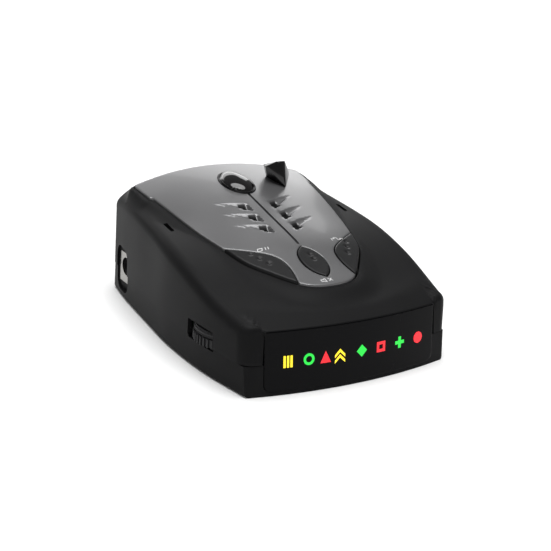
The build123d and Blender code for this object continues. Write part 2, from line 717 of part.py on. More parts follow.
# ---------------------------------------------------------------- volume wheel
ribs = Circle(wheel_radius)
ribs = ribs - PolarLocations(wheel_radius + 0.1, wheel_ribs) * Circle(0.5)
lower_band = Pos(0, 0, wheel_bottom) * extrude(ribs, wheel_height * 0.55)
waist = cylinder_up(wheel_radius - 0.9, wheel_bottom, wheel_bottom + wheel_height)
upper_band = cylinder_up(wheel_radius - 0.1, wheel_bottom + wheel_height * 0.66, wheel_bottom + wheel_height)
upper_band = chamfer(upper_band.edges().group_by(Axis.Z)[-1], 0.35)
wheel = lower_band + waist + upper_band
wheel = wheel - cylinder_up(shaft_radius, 0, 40)
dish = cylinder_up(wheel_radius - 3.0, wheel_bottom + wheel_height - 1.6, 40)
wheel = wheel - (dish - cylinder_up(3.2, 0, 40))
nodes["volume_wheel"] = wheel_axis * wheel
nodes["wheel_shaft"] = wheel_axis * cylinder_up(shaft_radius, board_top + 0.8, wheel_bottom + wheel_height - 0.6)
pot = cylinder_up(pot_radius, board_top, board_top + pot_height)
pot = pot - cylinder_up(shaft_radius + shaft_clearance, board_top + 0.6, 40)
nodes["volume_pot"] = wheel_axis * pot

# ---------------------------------------------------------------- power jack
shell_low = (jack_face + jack_plate, jack_y - jack_width / 2, jack_z - jack_height_above_board)
shell_high = (jack_face + jack_depth, jack_y + jack_width / 2, jack_z - jack_height_above_board + jack_tall)
jack = box_between(shell_low, shell_high)
along = Plane(origin=(jack_face, jack_y, jack_z), x_dir=(0, 1, 0), z_dir=(1, 0, 0))
bore_length = jack_depth - 2.4
jack = jack - along * (Pos(0, 0, bore_length / 2) * Cylinder(jack_hole_radius, bore_length))
nodes["jack_housing"] = jack
plate_high = (shell_low[0], shell_high[1], shell_high[2])
plate = box_between((jack_face, shell_low[1], shell_low[2]), plate_high)
plate = plate - along * Cylinder(jack_hole_radius, 4)
nodes["jack_plate"] = plate
pin_length = bore_length - 0.8
nodes["jack_pin"] = along * (Pos(0, 0, bore_length - pin_length / 2) * Cylinder(jack_pin_radius, pin_length))

# ---------------------------------------------------------------- loudspeaker
spot = Pos(speaker_side, speaker_y, 0)
nodes["speaker_gasket"] = spot * (cylinder_up(speaker_radius - 0.5, floor_thickness, speaker_z)
                                  - cylinder_up(speaker_radius - 2.5, 0, 10))
basket = cylinder_up(speaker_radius - 0.5, speaker_z, speaker_z + 1.0)
basket = basket + cylinder_up(speaker_radius - 2.0, speaker_z + 1.0, speaker_z + speaker_height - 1.0)
bowl = Pos(0, 0, speaker_z + (speaker_height - 2.0) / 2) * Cone(speaker_radius - 2.6, 4.0, speaker_height - 2.0)
basket = basket - bowl
nodes["speaker_basket"] = spot * basket
cone = Pos(0, 0, speaker_z + 0.6 + (speaker_height - 2.8) / 2) * Cone(speaker_radius - 4.4, 3.8, speaker_height - 2.8)
nodes["speaker_cone"] = spot * cone
magnet_base = speaker_z + speaker_height - 1.0
nodes["speaker_magnet"] = spot * cylinder_up(6.0, magnet_base, magnet_base + 2.6)

# ---------------------------------------------------------------- screws
screws = []
for x, distance in post_places:
    head = cylinder_up(screw_head_radius, 0.3, 1.2)
    head = head - box_between((-1.6, -0.3, 0), (1.6, 0.3, 0.7)) - box_between((-0.3, -1.6, 0), (0.3, 1.6, 0.7))
    screw = head + cylinder_up(screw_radius, 1.2, 13.0)
    screws.append(Pos(x, station(distance), 0) * screw)
nodes["case_screws"] = Compound(children=screws)
key_screws = []
for x, y in key_posts:
    screw = Pos(x, y, -board_thickness - 0.6) * Cylinder(1.4, 1.2)
    key_screws.append(key_plane * screw)
nodes["key_board_screws"] = Compound(children=key_screws)

for name, shape in nodes.items():
    export_step(shape, "parts/" + name + ".step")
    print(name, round(shape.volume, 1), len(shape.solids()), shape.is_valid)
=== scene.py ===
"""Looks of a dashboard radar detector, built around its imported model."""

import logging
import math
from dataclasses import dataclass
from enum import Enum
from typing import Callable, Optional, Sequence

import bmesh
import bpy
import numpy as np
from mathutils import Matrix, Vector
from mathutils.geometry import delaunay_2d_cdt


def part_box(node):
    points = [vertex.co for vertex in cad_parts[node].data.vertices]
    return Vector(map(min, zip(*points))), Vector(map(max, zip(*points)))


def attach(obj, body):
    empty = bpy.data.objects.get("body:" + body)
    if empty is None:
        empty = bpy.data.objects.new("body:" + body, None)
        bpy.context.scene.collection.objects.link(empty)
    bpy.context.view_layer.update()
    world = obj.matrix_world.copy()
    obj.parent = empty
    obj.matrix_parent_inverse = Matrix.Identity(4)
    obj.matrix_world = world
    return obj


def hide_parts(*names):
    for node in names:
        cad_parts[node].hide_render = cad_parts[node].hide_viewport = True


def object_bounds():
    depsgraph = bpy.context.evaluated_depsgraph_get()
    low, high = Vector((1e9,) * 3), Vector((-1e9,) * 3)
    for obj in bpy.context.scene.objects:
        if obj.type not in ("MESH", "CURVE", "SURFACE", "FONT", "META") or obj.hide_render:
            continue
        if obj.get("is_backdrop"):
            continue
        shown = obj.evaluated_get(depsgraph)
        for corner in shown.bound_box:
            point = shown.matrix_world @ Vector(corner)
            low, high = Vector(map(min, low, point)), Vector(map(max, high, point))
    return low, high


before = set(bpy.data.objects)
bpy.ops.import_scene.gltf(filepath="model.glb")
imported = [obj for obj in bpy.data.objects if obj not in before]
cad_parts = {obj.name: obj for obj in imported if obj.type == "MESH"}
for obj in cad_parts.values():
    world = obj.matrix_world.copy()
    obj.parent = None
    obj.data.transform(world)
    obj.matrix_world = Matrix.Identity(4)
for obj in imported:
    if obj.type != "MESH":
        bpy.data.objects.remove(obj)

log = logging.getLogger("radar_detector")
MM = 0.001
Point = tuple[float, float]
Loop = np.ndarray
Place = Callable[[np.ndarray, np.ndarray], np.ndarray]


# ------------------------------------------------------------------ curves
def spline(table: Sequence[Point]) -> Callable[[np.ndarray], np.ndarray]:
    """Natural cubic curve through a table.

    Args:
        table: pairs of place and value, in rising order of place.

    Returns:
        A function that gives the value at any place.
    """
    t, v = (np.array([row[k] for row in table], float) for k in (0, 1))
    h = np.diff(t)
    n = len(t)
    left, right = np.eye(n), np.zeros(n)
    for i in range(1, n - 1):
        left[i, i - 1:i + 2] = h[i - 1], 2 * (h[i - 1] + h[i]), h[i]
        right[i] = 6 * ((v[i + 1] - v[i]) / h[i] - (v[i] - v[i - 1]) / h[i - 1])
    m = np.linalg.solve(left, right)

    def value(at: np.ndarray) -> np.ndarray:
        """Value of the curve at a place."""
        at = np.clip(np.asarray(at, float), t[0], t[-1])
        i = np.clip(np.searchsorted(t, at) - 1, 0, n - 2)
        a, b, w = t[i + 1] - at, at - t[i], h[i]
        return ((m[i] * a ** 3 + m[i + 1] * b ** 3) / (6 * w)
                + (v[i] / w - m[i] * w / 6) * a + (v[i + 1] / w - m[i + 1] * w / 6) * b)

    return value


def turn(start: np.ndarray, corner: np.ndarray, end: np.ndarray, steps: int = 9) -> np.ndarray:
    """Points of a round corner between two runs.

    Args:
        start: where the first run stops.
        corner: where the two runs would meet.
        end: where the second run begins.
        steps: how many points to give.

    Returns:
        The points, from start to end.
    """
    t = np.linspace(0, 1, steps)[:, None]
    w = math.sqrt(0.5)
    a, b, c = (1 - t) ** 2, 2 * w * t * (1 - t), t ** 2
    return (a * start + b * corner + c * end) / (a + b + c)


def normals(loop: Loop) -> np.ndarray:
    """Outward unit normals of a loop that runs anticlockwise.

    Args:
        loop: an anticlockwise loop.

    Returns:
        One normal for each point.
    """
    step = np.roll(loop, -1, 0) - np.roll(loop, 1, 0)
    step /= np.linalg.norm(step, axis=1)[:, None] + 1e-12
    return np.stack([step[:, 1], -step[:, 0]], 1)


def grown(loop: Loop, by: float) -> Loop:
    """A loop moved outwards by a distance."""
    return loop + normals(loop) * by


def resampled(loop: Loop, pitch: float) -> Loop:
    """A closed loop with its points at an even pitch.

    Args:
        loop: a closed loop.
        pitch: distance between its new points.

    Returns:
        The loop with new points.
    """
    ring = np.vstack([loop, loop[:1]])
    run = np.concatenate([[0], np.cumsum(np.linalg.norm(np.diff(ring, axis=0), axis=1))])
    at = np.linspace(0, run[-1], max(int(run[-1] / pitch), 8) + 1)[:-1]
    return np.stack([np.interp(at, run, ring[:, k]) for k in (0, 1)], 1)


def distance(points: np.ndarray, loop: Loop) -> np.ndarray:
    """Least distance of each point from a closed loop.

    Args:
        points: flat points.
        loop: a closed loop.

    Returns:
        One distance for each point.
    """
    a, b = loop, np.roll(loop, -1, 0)
    ab = b - a
    size = (ab ** 2).sum(1) + 1e-12
    best = np.full(len(points), 1e9)
    for p0, d, s in zip(a, ab, size):
        t = np.clip(((points - p0) @ d) / s, 0, 1)
        best = np.minimum(best, np.hypot(*(points - p0 - t[:, None] * d).T))
    return best


def inside(points: np.ndarray, loop: Loop) -> np.ndarray:
    """Which points lie inside a closed loop.

    Args:
        points: flat points.
        loop: a closed loop.

    Returns:
        True for each point inside.
    """
    hit = np.zeros(len(points), bool)
    x, y = points[:, 0], points[:, 1]
    for (x0, y0), (x1, y1) in zip(loop, np.roll(loop, -1, 0)):
        if y0 != y1:
            hit ^= ((y0 > y) != (y1 > y)) & (x < (x1 - x0) * (y - y0) / (y1 - y0) + x0)
    return hit


# ------------------------------------------------------------------ form of the case
class Form:
    """Outlines and surfaces that the case, the panel and the keys share, in millimetres."""

    length, width, nose, tail = 107.0, 82.0, 37.0, 34.5
    front_bow, rear_bow, lean, parting = 4.2, 5.0, 0.12, 9.5
    window_half, window_top = 31.12, 19.62
    side = ((0.16, 1.7), (0.235, 0.65), (0.36, 0.0), (0.47, 0.25), (0.575, 1.35), (0.79, 3.75))
    deck_line = ((0.0, 20.4), (0.07, 22.0), (0.17, 24.5), (0.30, 28.5), (0.46, 32.4), (0.60, 34.5),
                 (0.77, 35.7), (0.88, 35.2), (1.0, 33.4))
    panel_line = ((0.10, 24.2), (0.15, 26.2), (0.20, 27.7), (0.34, 32.2), (0.50, 36.1), (0.664, 39.9),
                  (0.88, 43.6), (1.0, 45.0))
    panel_edge = ((0.0, 0.156), (0.10, 0.159), (0.20, 0.172), (0.30, 0.205), (0.42, 0.262), (0.52, 0.318),
                  (0.578, 0.388), (0.645, 0.49), (0.70, 0.61), (0.75, 0.745))

    def __init__(self) -> None:
        """Fits the curves."""
        rows = [(self.front_bow / self.length, self.width / 2 - self.nose), *self.side,
                (1 - self.rear_bow / self.length, self.width / 2 - self.tail)]
        self._side = spline(rows)
        self._deck = spline(self.deck_line)
        self._panel = spline(self.panel_line)

    def y(self, station: float) -> float:
        """Y of a distance behind the front of the case."""
        return station - self.length / 2

    def half(self, y: np.ndarray) -> np.ndarray:
        """Half width of the case at y."""
        return self.width / 2 - self._side((y + self.length / 2) / self.length)

    def crowned(self, line: Callable, crown: float, x: np.ndarray, y: np.ndarray) -> np.ndarray:
        """Height of a surface that bends down from its centre line to both sides.

        Args:
            line: height along the centre line, by share of the length.
            crown: radius of the bend.
            x: places across.
            y: places along.

        Returns:
            Heights at the places.
        """
        base = 35.0 - crown
        return np.sqrt((line((y + self.length / 2) / self.length) - base) ** 2 - x ** 2) + base

    def deck(self, x: np.ndarray, y: np.ndarray) -> np.ndarray:
        """Height of the deck."""
        return self.crowned(self._deck, 1100.0, x, y)

    def panel(self, x: np.ndarray, y: np.ndarray) -> np.ndarray:
        """Height of the top panel."""
        return self.crowned(self._panel, 140.0, x, y)

    def front(self, x: np.ndarray, z: np.ndarray) -> np.ndarray:
        """Y of the bowed, leaning front face."""
        return -self.length / 2 + self.lean * z + self.front_bow * (x / self.nose) ** 2

    def outline(self, z: float, inset: float = 0.0) -> Loop:
        """Plan outline of the case at a height, anticlockwise from the middle of the front.

        Args:
            z: height of the outline.
            inset: how far inside the case it runs.

        Returns:
            The loop.
        """
        lead = self.lean * z
        nose = self.nose - inset
        y_nose = -self.length / 2 + lead + self.front_bow + inset
        sweep = lambda x: -self.length / 2 + lead + inset + self.front_bow * (x / self.nose) ** 2
        soft = 2.4
        xs = np.concatenate([np.linspace(0, self.window_half, 50),
                             np.linspace(self.window_half, nose - soft, 8)[1:]])
        front = np.stack([xs, sweep(xs)], 1)
        ys = np.linspace(y_nose + soft, self.length / 2 - self.rear_bow - inset - 3.6, 120)
        side = np.stack([self.half(ys) - inset, ys], 1)
        tail = self.tail - inset
        y_tail = self.length / 2 - inset
        xr = np.linspace(tail - 4.2, 0, 26)
        rear = np.stack([xr, y_tail - self.rear_bow * (xr / tail) ** 2], 1)
        first = turn(front[-1], np.array([nose, y_nose]), side[0])[1:-1]
        second = turn(side[-1], np.array([tail, y_tail - self.rear_bow + 0.2]), rear[0])[1:-1]
        right = np.vstack([front, first, side, second, rear])
        return np.vstack([right, (right * (-1, 1))[-2:0:-1]])

    def panel_loop(self, grow: float = 0.0) -> Loop:
        """Shield-shaped outline of the top panel, anticlockwise from its front tip.

        Args:
            grow: how far outside the panel it runs.

        Returns:
            The loop.
        """
        pts = np.array([(a * self.width / 2, self.y(b * self.length)) for a, b in self.panel_edge])
        both = np.vstack([(pts * (-1, 1))[:0:-1], pts])
        run = np.concatenate([[0], np.cumsum(np.linalg.norm(np.diff(both, axis=0), axis=1))])
        at = np.linspace(run[len(pts) - 1], run[-1], 110)
        curve = [spline(list(zip(run, both[:, k])))(at) for k in (0, 1)]
        edge = np.stack(curve, 1)
        ledge = edge[-1] + np.array([0.9, 0.9])
        corner = np.array([32.6, self.y(0.85 * self.length)])
        back = self.y(0.88 * self.length)
        up = (corner - ledge) / np.linalg.norm(corner - ledge)
        rise = np.linspace(0, 1, 16)[:, None]
        climb = ledge + (corner - up * 1.4 - ledge) * rise
        xr = np.linspace(31.2, 0, 40)
        rear = np.stack([xr, back - (back - corner[1]) * (xr / 32.6) ** 2], 1)
        right = np.vstack([edge, climb, turn(climb[-1], corner, rear[0], 6)[1:-1], rear])
        return grown(np.vstack([right, (right * (-1, 1))[-2:0:-1]]), grow)


FORM = Form()


# ------------------------------------------------------------------ meshes
def as_object(name: str, verts: Sequence, faces: Sequence, smooth: float = 35.0) -> bpy.types.Object:
    """Makes an object from points in millimetres.

    Args:
        name: the object's name.
        verts: its points.
        faces: its faces as indices.
        smooth: edges sharper than this many degrees stay sharp.

    Returns:
        The linked object, with its faces pointing outwards.
    """
    mesh = bpy.data.meshes.new(name)
    places = [tuple(float(c) * MM for c in v) for v in verts]
    mesh.from_pydata(places, [], [tuple(map(int, f)) for f in faces])
    made = bmesh.new()
    made.from_mesh(mesh)
    bmesh.ops.remove_doubles(made, verts=made.verts, dist=2e-7)
    bmesh.ops.recalc_face_normals(made, faces=made.faces)
    made.to_mesh(mesh)
    made.free()
    return finished(name, mesh, smooth)


def finished(name: str, mesh: bpy.types.Mesh, smooth: float = 35.0) -> bpy.types.Object:
    """Links a mesh as an object, smooth but for its sharp edges.

    Args:
        name: name of the object.
        mesh: its mesh.
        smooth: edges sharper than this many degrees stay sharp.

    Returns:
        The linked object.
    """
    mesh.polygons.foreach_set("use_smooth", [True] * len(mesh.polygons))
    mesh.set_sharp_from_angle(angle=math.radians(smooth))
    made = bpy.data.objects.new(name, mesh)
    bpy.context.collection.objects.link(made)
    return made


def joined(name: str, parts: Sequence[bpy.types.Object], smooth: float = 35.0) -> bpy.types.Object:
    """Joins several objects of one finish into one.

    Args:
        name: name of the whole.
        parts: the objects, which are removed.
        smooth: edges sharper than this many degrees stay sharp.

    Returns:
        The joined object.
    """
    made = bmesh.new()
    for part in parts:
        made.from_mesh(part.data)
        bpy.data.objects.remove(part)
    mesh = bpy.data.meshes.new(name)
    made.to_mesh(mesh)
    made.free()
    return finished(name, mesh, smooth)


def plain(source: bpy.types.Object, name: str) -> bpy.types.Object:
    """Turns an object with modifiers into a plain mesh object and removes the old one.

    Args:
        source: the object, which is removed.
        name: name of the new object.

    Returns:
        The plain object.
    """
    graph = bpy.context.evaluated_depsgraph_get()
    mesh = bpy.data.meshes.new_from_object(source.evaluated_get(graph), depsgraph=graph)
    bpy.data.objects.remove(source)
    return finished(name, mesh)


@dataclass
class Sheet:
    """A curved plate over a flat outline, with holes, creases and a rounded rim.

    Attributes:
        outline: its anticlockwise outline.
        top: place of its upper side for each flat point.
        bottom: place of its lower side.
        pitch: distance between its inner points.
        holes: loops cut through it.
        creases: lines that its faces keep to.
        rim: radius of the rounding along its edges.
    """

    outline: Loop
    top: Place
    bottom: Place
    pitch: float = 1.0
    holes: Sequence[Loop] = ()
    creases: Sequence[Loop] = ()
    rim: float = 0.0

    def build(self, name: str, smooth: float = 35.0) -> bpy.types.Object:
        """Makes the plate as one closed mesh."""
        loops = [self.outline, *self.holes]
        flat, edges = [], []
        for loop in loops + list(self.creases):
            start = len(flat)
            flat += [tuple(p) for p in loop]
            edges += [(start + i, start + (i + 1) % len(loop)) for i in range(len(loop))]
        extra = []
        if self.rim:
            for share in (0.15, 0.5, 1.0):
                for k, loop in enumerate(loops):
                    ring = grown(loop, -share * self.rim if k == 0 else share * self.rim)
                    extra.append(ring)
        low, high = self.outline.min(0), self.outline.max(0)
        across, along = np.arange(low[0], high[0], self.pitch), np.arange(low[1], high[1], self.pitch * 0.87)
        gx, gy = np.meshgrid(across, along)
        gx = gx + np.where(np.arange(len(gx)) % 2, self.pitch / 2, 0)[:, None]
        grid = np.stack([gx.ravel(), gy.ravel()], 1)
        keep = inside(grid, self.outline)
        for loop in loops + list(self.creases):
            keep &= distance(grid, loop) > max(0.45 * self.pitch, self.rim * 1.2)
        extra.append(grid[keep])
        for ring in extra:
            good = inside(ring, self.outline)
            for loop in self.holes:
                good &= ~inside(ring, loop)
            flat += [tuple(p) for p in ring[good]]
        verts, _, faces, *_ = delaunay_2d_cdt([Vector(p) for p in flat], edges, [], 0, 1e-5)
        p = np.array([tuple(v) for v in verts])
        middle = np.array([p[list(f)].mean(0) for f in faces])
        keep = inside(middle, self.outline)
        for loop in self.holes:
            keep &= ~inside(middle, loop)
        faces = [f for f, k in zip(faces, keep) if k]
        used = sorted({i for f in faces for i in f})
        index = {old: new for new, old in enumerate(used)}
        p = p[used]
        faces = [[index[i] for i in f] for f in faces]
        upper, lower = self.top(p[:, 0], p[:, 1]), self.bottom(p[:, 0], p[:, 1])
        if self.rim:
            near = np.min([distance(p, loop) for loop in loops], axis=0)
            fall = np.clip(1 - near / self.rim, 0, 1)
            drop = self.rim * (1 - np.sqrt(1 - fall ** 2 * 0.999))
            way = lower - upper
            upper = upper + way / np.linalg.norm(way, axis=1)[:, None] * drop[:, None]
        sides: dict[tuple[int, int], int] = {}
        for f in faces:
            for a, b in zip(f, f[1:] + f[:1]):
                sides[(a, b)] = sides.get((a, b), 0) + 1
        n = len(p)
        wall = [(a, b, b + n, a + n) for a, b in sides if (b, a) not in sides]
        under = [[i + n for i in f[::-1]] for f in faces]
        return as_object(name, np.vstack([upper, lower]), faces + under + wall, smooth)


def over(height: Callable, drop: float) -> Place:
    """A plate's side that follows a height surface, lowered by drop."""
    return lambda x, y: np.stack([x, y, height(x, y) - drop], 1)


def lathe(name: str, profile: Sequence[Point], centre: Point, steps: int = 96) -> bpy.types.Object:
    """Turns a closed profile of radius and height round an upright axis.

    Args:
        name: name of the object.
        profile: closed run of radius and height.
        centre: place of the axis.
        steps: faces round the axis.

    Returns:
        The turned object.
    """
    ring = [(centre[0] + r * math.cos(a), centre[1] + r * math.sin(a), z)
            for a in np.linspace(0, 2 * math.pi, steps, endpoint=False) for r, z in profile]
    n = len(profile)
    faces = [(i * n + k, ((i + 1) % steps) * n + k, ((i + 1) % steps) * n + (k + 1) % n, i * n + (k + 1) % n)
             for i in range(steps) for k in range(n)]
    return as_object(name, ring, faces)


def rod(name: str, start: Vector, end: Vector, radius: float) -> bpy.types.Object:
    """A round rod between two points.

    Args:
        name: name of the object.
        start: one end.
        end: the other end.
        radius: its radius.

    Returns:
        The rod.
    """
    along = (end - start).normalized()
    side = along.orthogonal().normalized()
    other = along.cross(side)
    ring = [p + (side * math.cos(a) + other * math.sin(a)) * radius
            for p in (start, end) for a in np.linspace(0, 2 * math.pi, 24, endpoint=False)]
    faces = [(i, (i + 1) % 24, 24 + (i + 1) % 24, 24 + i) for i in range(24)]
    return as_object(name, ring, faces + [tuple(range(24))[::-1], tuple(range(24, 48))])


def block(name: str, low: Sequence[float], high: Sequence[float], soft: float = 0.0,
          axis: int = 2) -> bpy.types.Object:
    """A block with the corners along one axis rounded.

    Args:
        name: name of the object.
        low: lowest corner.
        high: highest corner.
        soft: radius of the rounded corners.
        axis: the axis that the rounded corners run along.

    Returns:
        The block.
    """
    u, v = [k for k in range(3) if k != axis]
    a, b = np.array([low[u], low[v]], float), np.array([high[u], high[v]], float)
    soft = max(soft, 0.02)
    marks = [(b[0], a[1]), (b[0], b[1]), (a[0], b[1]), (a[0], a[1])]
    ring = []
    for k, corner in enumerate(np.array(marks)):
        before, after = np.array(marks[k - 1]), np.array(marks[(k + 1) % 4])
        to = lambda q: corner + (q - corner) / np.linalg.norm(q - corner) * soft
        ring.append(turn(to(before), corner, to(after), 7))
    ring = np.vstack(ring)
    verts = []
    for level in (low[axis], high[axis]):
        for p in ring:
            point = [0.0, 0.0, 0.0]
            point[u], point[v], point[axis] = p[0], p[1], level
            verts.append(point)
    n = len(ring)
    faces = [(i, (i + 1) % n, n + (i + 1) % n, n + i) for i in range(n)]
    return as_object(name, verts, faces + [tuple(range(n))[::-1], tuple(range(n, 2 * n))])


# ------------------------------------------------------------------ finishes
class Relief(Enum):
    """Kinds of surface relief."""

    GRAIN = "even grain in all directions"
    BRUSHED = "fine lines along X"


@dataclass(frozen=True)
class Finish:
    """A procedural surface finish.

    Attributes:
        name: the material's name.
        colour: base colour, linear.
        roughness: middle of its roughness range.
        relief: kind of relief.
        size: size of the relief, in millimetres.
        depth: strength of the relief.
        metal: metallic share.
        coat: clear coat weight.
        shade: how far the colour varies.
        wear: how much lighter the edges are.
        sheen: sheen weight.
        glow: emission strength.
        specular: specular level.
        clear: transmission weight.
    """

    name: str
    colour: tuple[float, float, float]
    roughness: float = 0.5
    relief: Relief = Relief.GRAIN
    size: float = 0.35
    depth: float = 0.12
    metal: float = 0.0
    coat: float = 0.0
    shade: float = 0.12
    wear: float = 0.0
    sheen: float = 0.0
    glow: float = 0.0
    specular: float = 0.5
    clear: float = 0.0

    def material(self) -> bpy.types.Material:
        """Builds the finish once and returns it."""
        made = bpy.data.materials.get(self.name)
        if made:
            return made
        made = bpy.data.materials.new(self.name)
        made.use_nodes = True
        tree = made.node_tree
        nodes, link = tree.nodes, tree.links.new
        shader = nodes["Principled BSDF"]
        shader.inputs["Metallic"].default_value = self.metal
        shader.inputs["Specular IOR Level"].default_value = self.specular
        shader.inputs["Coat Weight"].default_value = self.coat
        shader.inputs["Coat Roughness"].default_value = 0.06
        shader.inputs["Sheen Weight"].default_value = self.sheen
        shader.inputs["Transmission Weight"].default_value = self.clear
        place = nodes.new("ShaderNodeTexCoord").outputs["Object"]
        turned = nodes.new("ShaderNodeMapping")
        stretch = (1, 14, 14) if self.relief is Relief.BRUSHED else (1, 1, 1)
        turned.inputs["Scale"].default_value = stretch
        link(place, turned.inputs["Vector"])
        fine = nodes.new("ShaderNodeTexNoise")
        fine.inputs["Scale"].default_value = 1000 / self.size / (6 if self.relief is Relief.BRUSHED else 1)
        fine.inputs["Detail"].default_value = 3
        link(turned.outputs["Vector"], fine.inputs["Vector"])
        broad = nodes.new("ShaderNodeTexNoise")
        broad.inputs["Scale"].default_value = 55
        broad.inputs["Detail"].default_value = 2
        link(place, broad.inputs["Vector"])
        tone = nodes.new("ShaderNodeMix")
        tone.data_type = "RGBA"
        tone.inputs["A"].default_value = (*[c * (1 - self.shade) for c in self.colour], 1)
        tone.inputs["B"].default_value = (*[min(c * (1 + self.shade), 1) for c in self.colour], 1)
        link(broad.outputs["Fac"], tone.inputs["Factor"])
        colour = tone.outputs["Result"]
        if self.wear:
            edge = nodes.new("ShaderNodeNewGeometry")
            limit = nodes.new("ShaderNodeMapRange")
            limit.inputs["From Min"].default_value = 0.53
            limit.inputs["From Max"].default_value = 0.62
            limit.inputs["To Max"].default_value = self.wear
            link(edge.outputs["Pointiness"], limit.inputs["Value"])
            worn = nodes.new("ShaderNodeMix")
            worn.data_type = "RGBA"
            worn.inputs["B"].default_value = (*[min(c * 3 + 0.04, 1) for c in self.colour], 1)
            link(limit.outputs["Result"], worn.inputs["Factor"])
            link(colour, worn.inputs["A"])
            colour = worn.outputs["Result"]
        link(colour, shader.inputs["Base Color"])
        gloss = nodes.new("ShaderNodeMapRange")
        gloss.inputs["To Min"].default_value = max(self.roughness - 0.06, 0.02)
        gloss.inputs["To Max"].default_value = min(self.roughness + 0.06, 1)
        link(broad.outputs["Fac"], gloss.inputs["Value"])
        link(gloss.outputs["Result"], shader.inputs["Roughness"])
        bump = nodes.new("ShaderNodeBump")
        bump.inputs["Strength"].default_value = self.depth
        bump.inputs["Distance"].default_value = 0.00006
        link(fine.outputs["Fac"], bump.inputs["Height"])
        link(bump.outputs["Normal"], shader.inputs["Normal"])
        if self.glow:
            shader.inputs["Emission Strength"].default_value = self.glow
            shader.inputs["Emission Color"].default_value = (*self.colour, 1)
        return made


CASE = Finish("moulded_black_case", (0.008, 0.008, 0.0084), 0.48, size=0.3, depth=0.22, wear=0.04,
              specular=0.06)
PANEL = Finish("satin_grey_lacquer", (0.14, 0.14, 0.143), 0.32, size=0.16, depth=0.08, metal=0.55, coat=0.15,
               shade=0.05)
KEY = Finish("dark_satin_key", (0.014, 0.014, 0.0145), 0.34, size=0.22, depth=0.12, metal=0.05,
             wear=0.05, specular=0.12)
GLOSS = Finish("gloss_black_acrylic", (0.003, 0.003, 0.0035), 0.09, Relief.GRAIN, 6.0, 0.03, specular=0.07)
LENS = Finish("dark_infrared_lens", (0.004, 0.0035, 0.004), 0.06, Relief.GRAIN, 5.0, 0.04, coat=0.2,
              specular=0.4)
LABEL = Finish("pale_label_print", (0.55, 0.55, 0.55), 0.5, size=0.2, depth=0.15, shade=0.08)
WHEEL = Finish("rubbery_wheel", (0.016, 0.016, 0.017), 0.45, size=0.3, depth=0.25, specular=0.25)
NICKEL = Finish("bright_nickel", (0.3, 0.295, 0.28), 0.24, Relief.BRUSHED, 0.5, 0.12, metal=1.0)
STEEL = Finish("zinc_steel", (0.42, 0.42, 0.43), 0.32, Relief.BRUSHED, 0.5, 0.15, metal=1.0)
TIN = Finish("tinned_sheet", (0.58, 0.58, 0.57), 0.3, Relief.BRUSHED, 0.8, 0.12, metal=1.0)
CASTING = Finish("die_cast_horn", (0.42, 0.42, 0.41), 0.48, Relief.GRAIN, 0.9, 0.4, metal=0.9, shade=0.2)
BOARD = Finish("green_circuit_board", (0.012, 0.10, 0.035), 0.34, Relief.GRAIN, 0.6, 0.12, coat=0.3,
               shade=0.25)
CHIP = Finish("black_epoxy_package", (0.018, 0.018, 0.018), 0.55, size=0.12, depth=0.2)
CAN = Finish("capacitor_sleeve", (0.03, 0.03, 0.05), 0.3, Relief.BRUSHED, 1.2, 0.06, coat=0.3)
DIFFUSER = Finish("frosted_light_guide", (0.75, 0.78, 0.8), 0.35, size=0.5, depth=0.1, clear=0.6)
MASK = Finish("matt_display_mask", (0.008, 0.008, 0.008), 0.8, size=0.25, depth=0.3)
LAMP = Finish("small_lamp_body", (0.85, 0.85, 0.78), 0.3, size=0.3, depth=0.1, glow=0.2)
SWITCH = Finish("switch_moulding", (0.06, 0.06, 0.065), 0.45, size=0.25, depth=0.15)
STEM = Finish("switch_stem", (0.25, 0.07, 0.04), 0.4, size=0.25, depth=0.1)
PAPER = Finish("silvered_blank_label", (0.45, 0.45, 0.44), 0.42, Relief.GRAIN, 0.4, 0.12, metal=0.4)
FOAM = Finish("gasket_foam", (0.03, 0.03, 0.032), 0.9, Relief.GRAIN, 0.5, 0.9, sheen=0.3)
CONE = Finish("pulp_speaker_cone", (0.05, 0.047, 0.042), 0.8, Relief.GRAIN, 0.7, 0.6, sheen=0.2)
MAGNET = Finish("ferrite_magnet", (0.07, 0.07, 0.075), 0.5, Relief.GRAIN, 0.6, 0.4, metal=0.4)
BRASS = Finish("turned_brass", (0.55, 0.40, 0.16), 0.3, Relief.BRUSHED, 0.4, 0.12, metal=1.0)


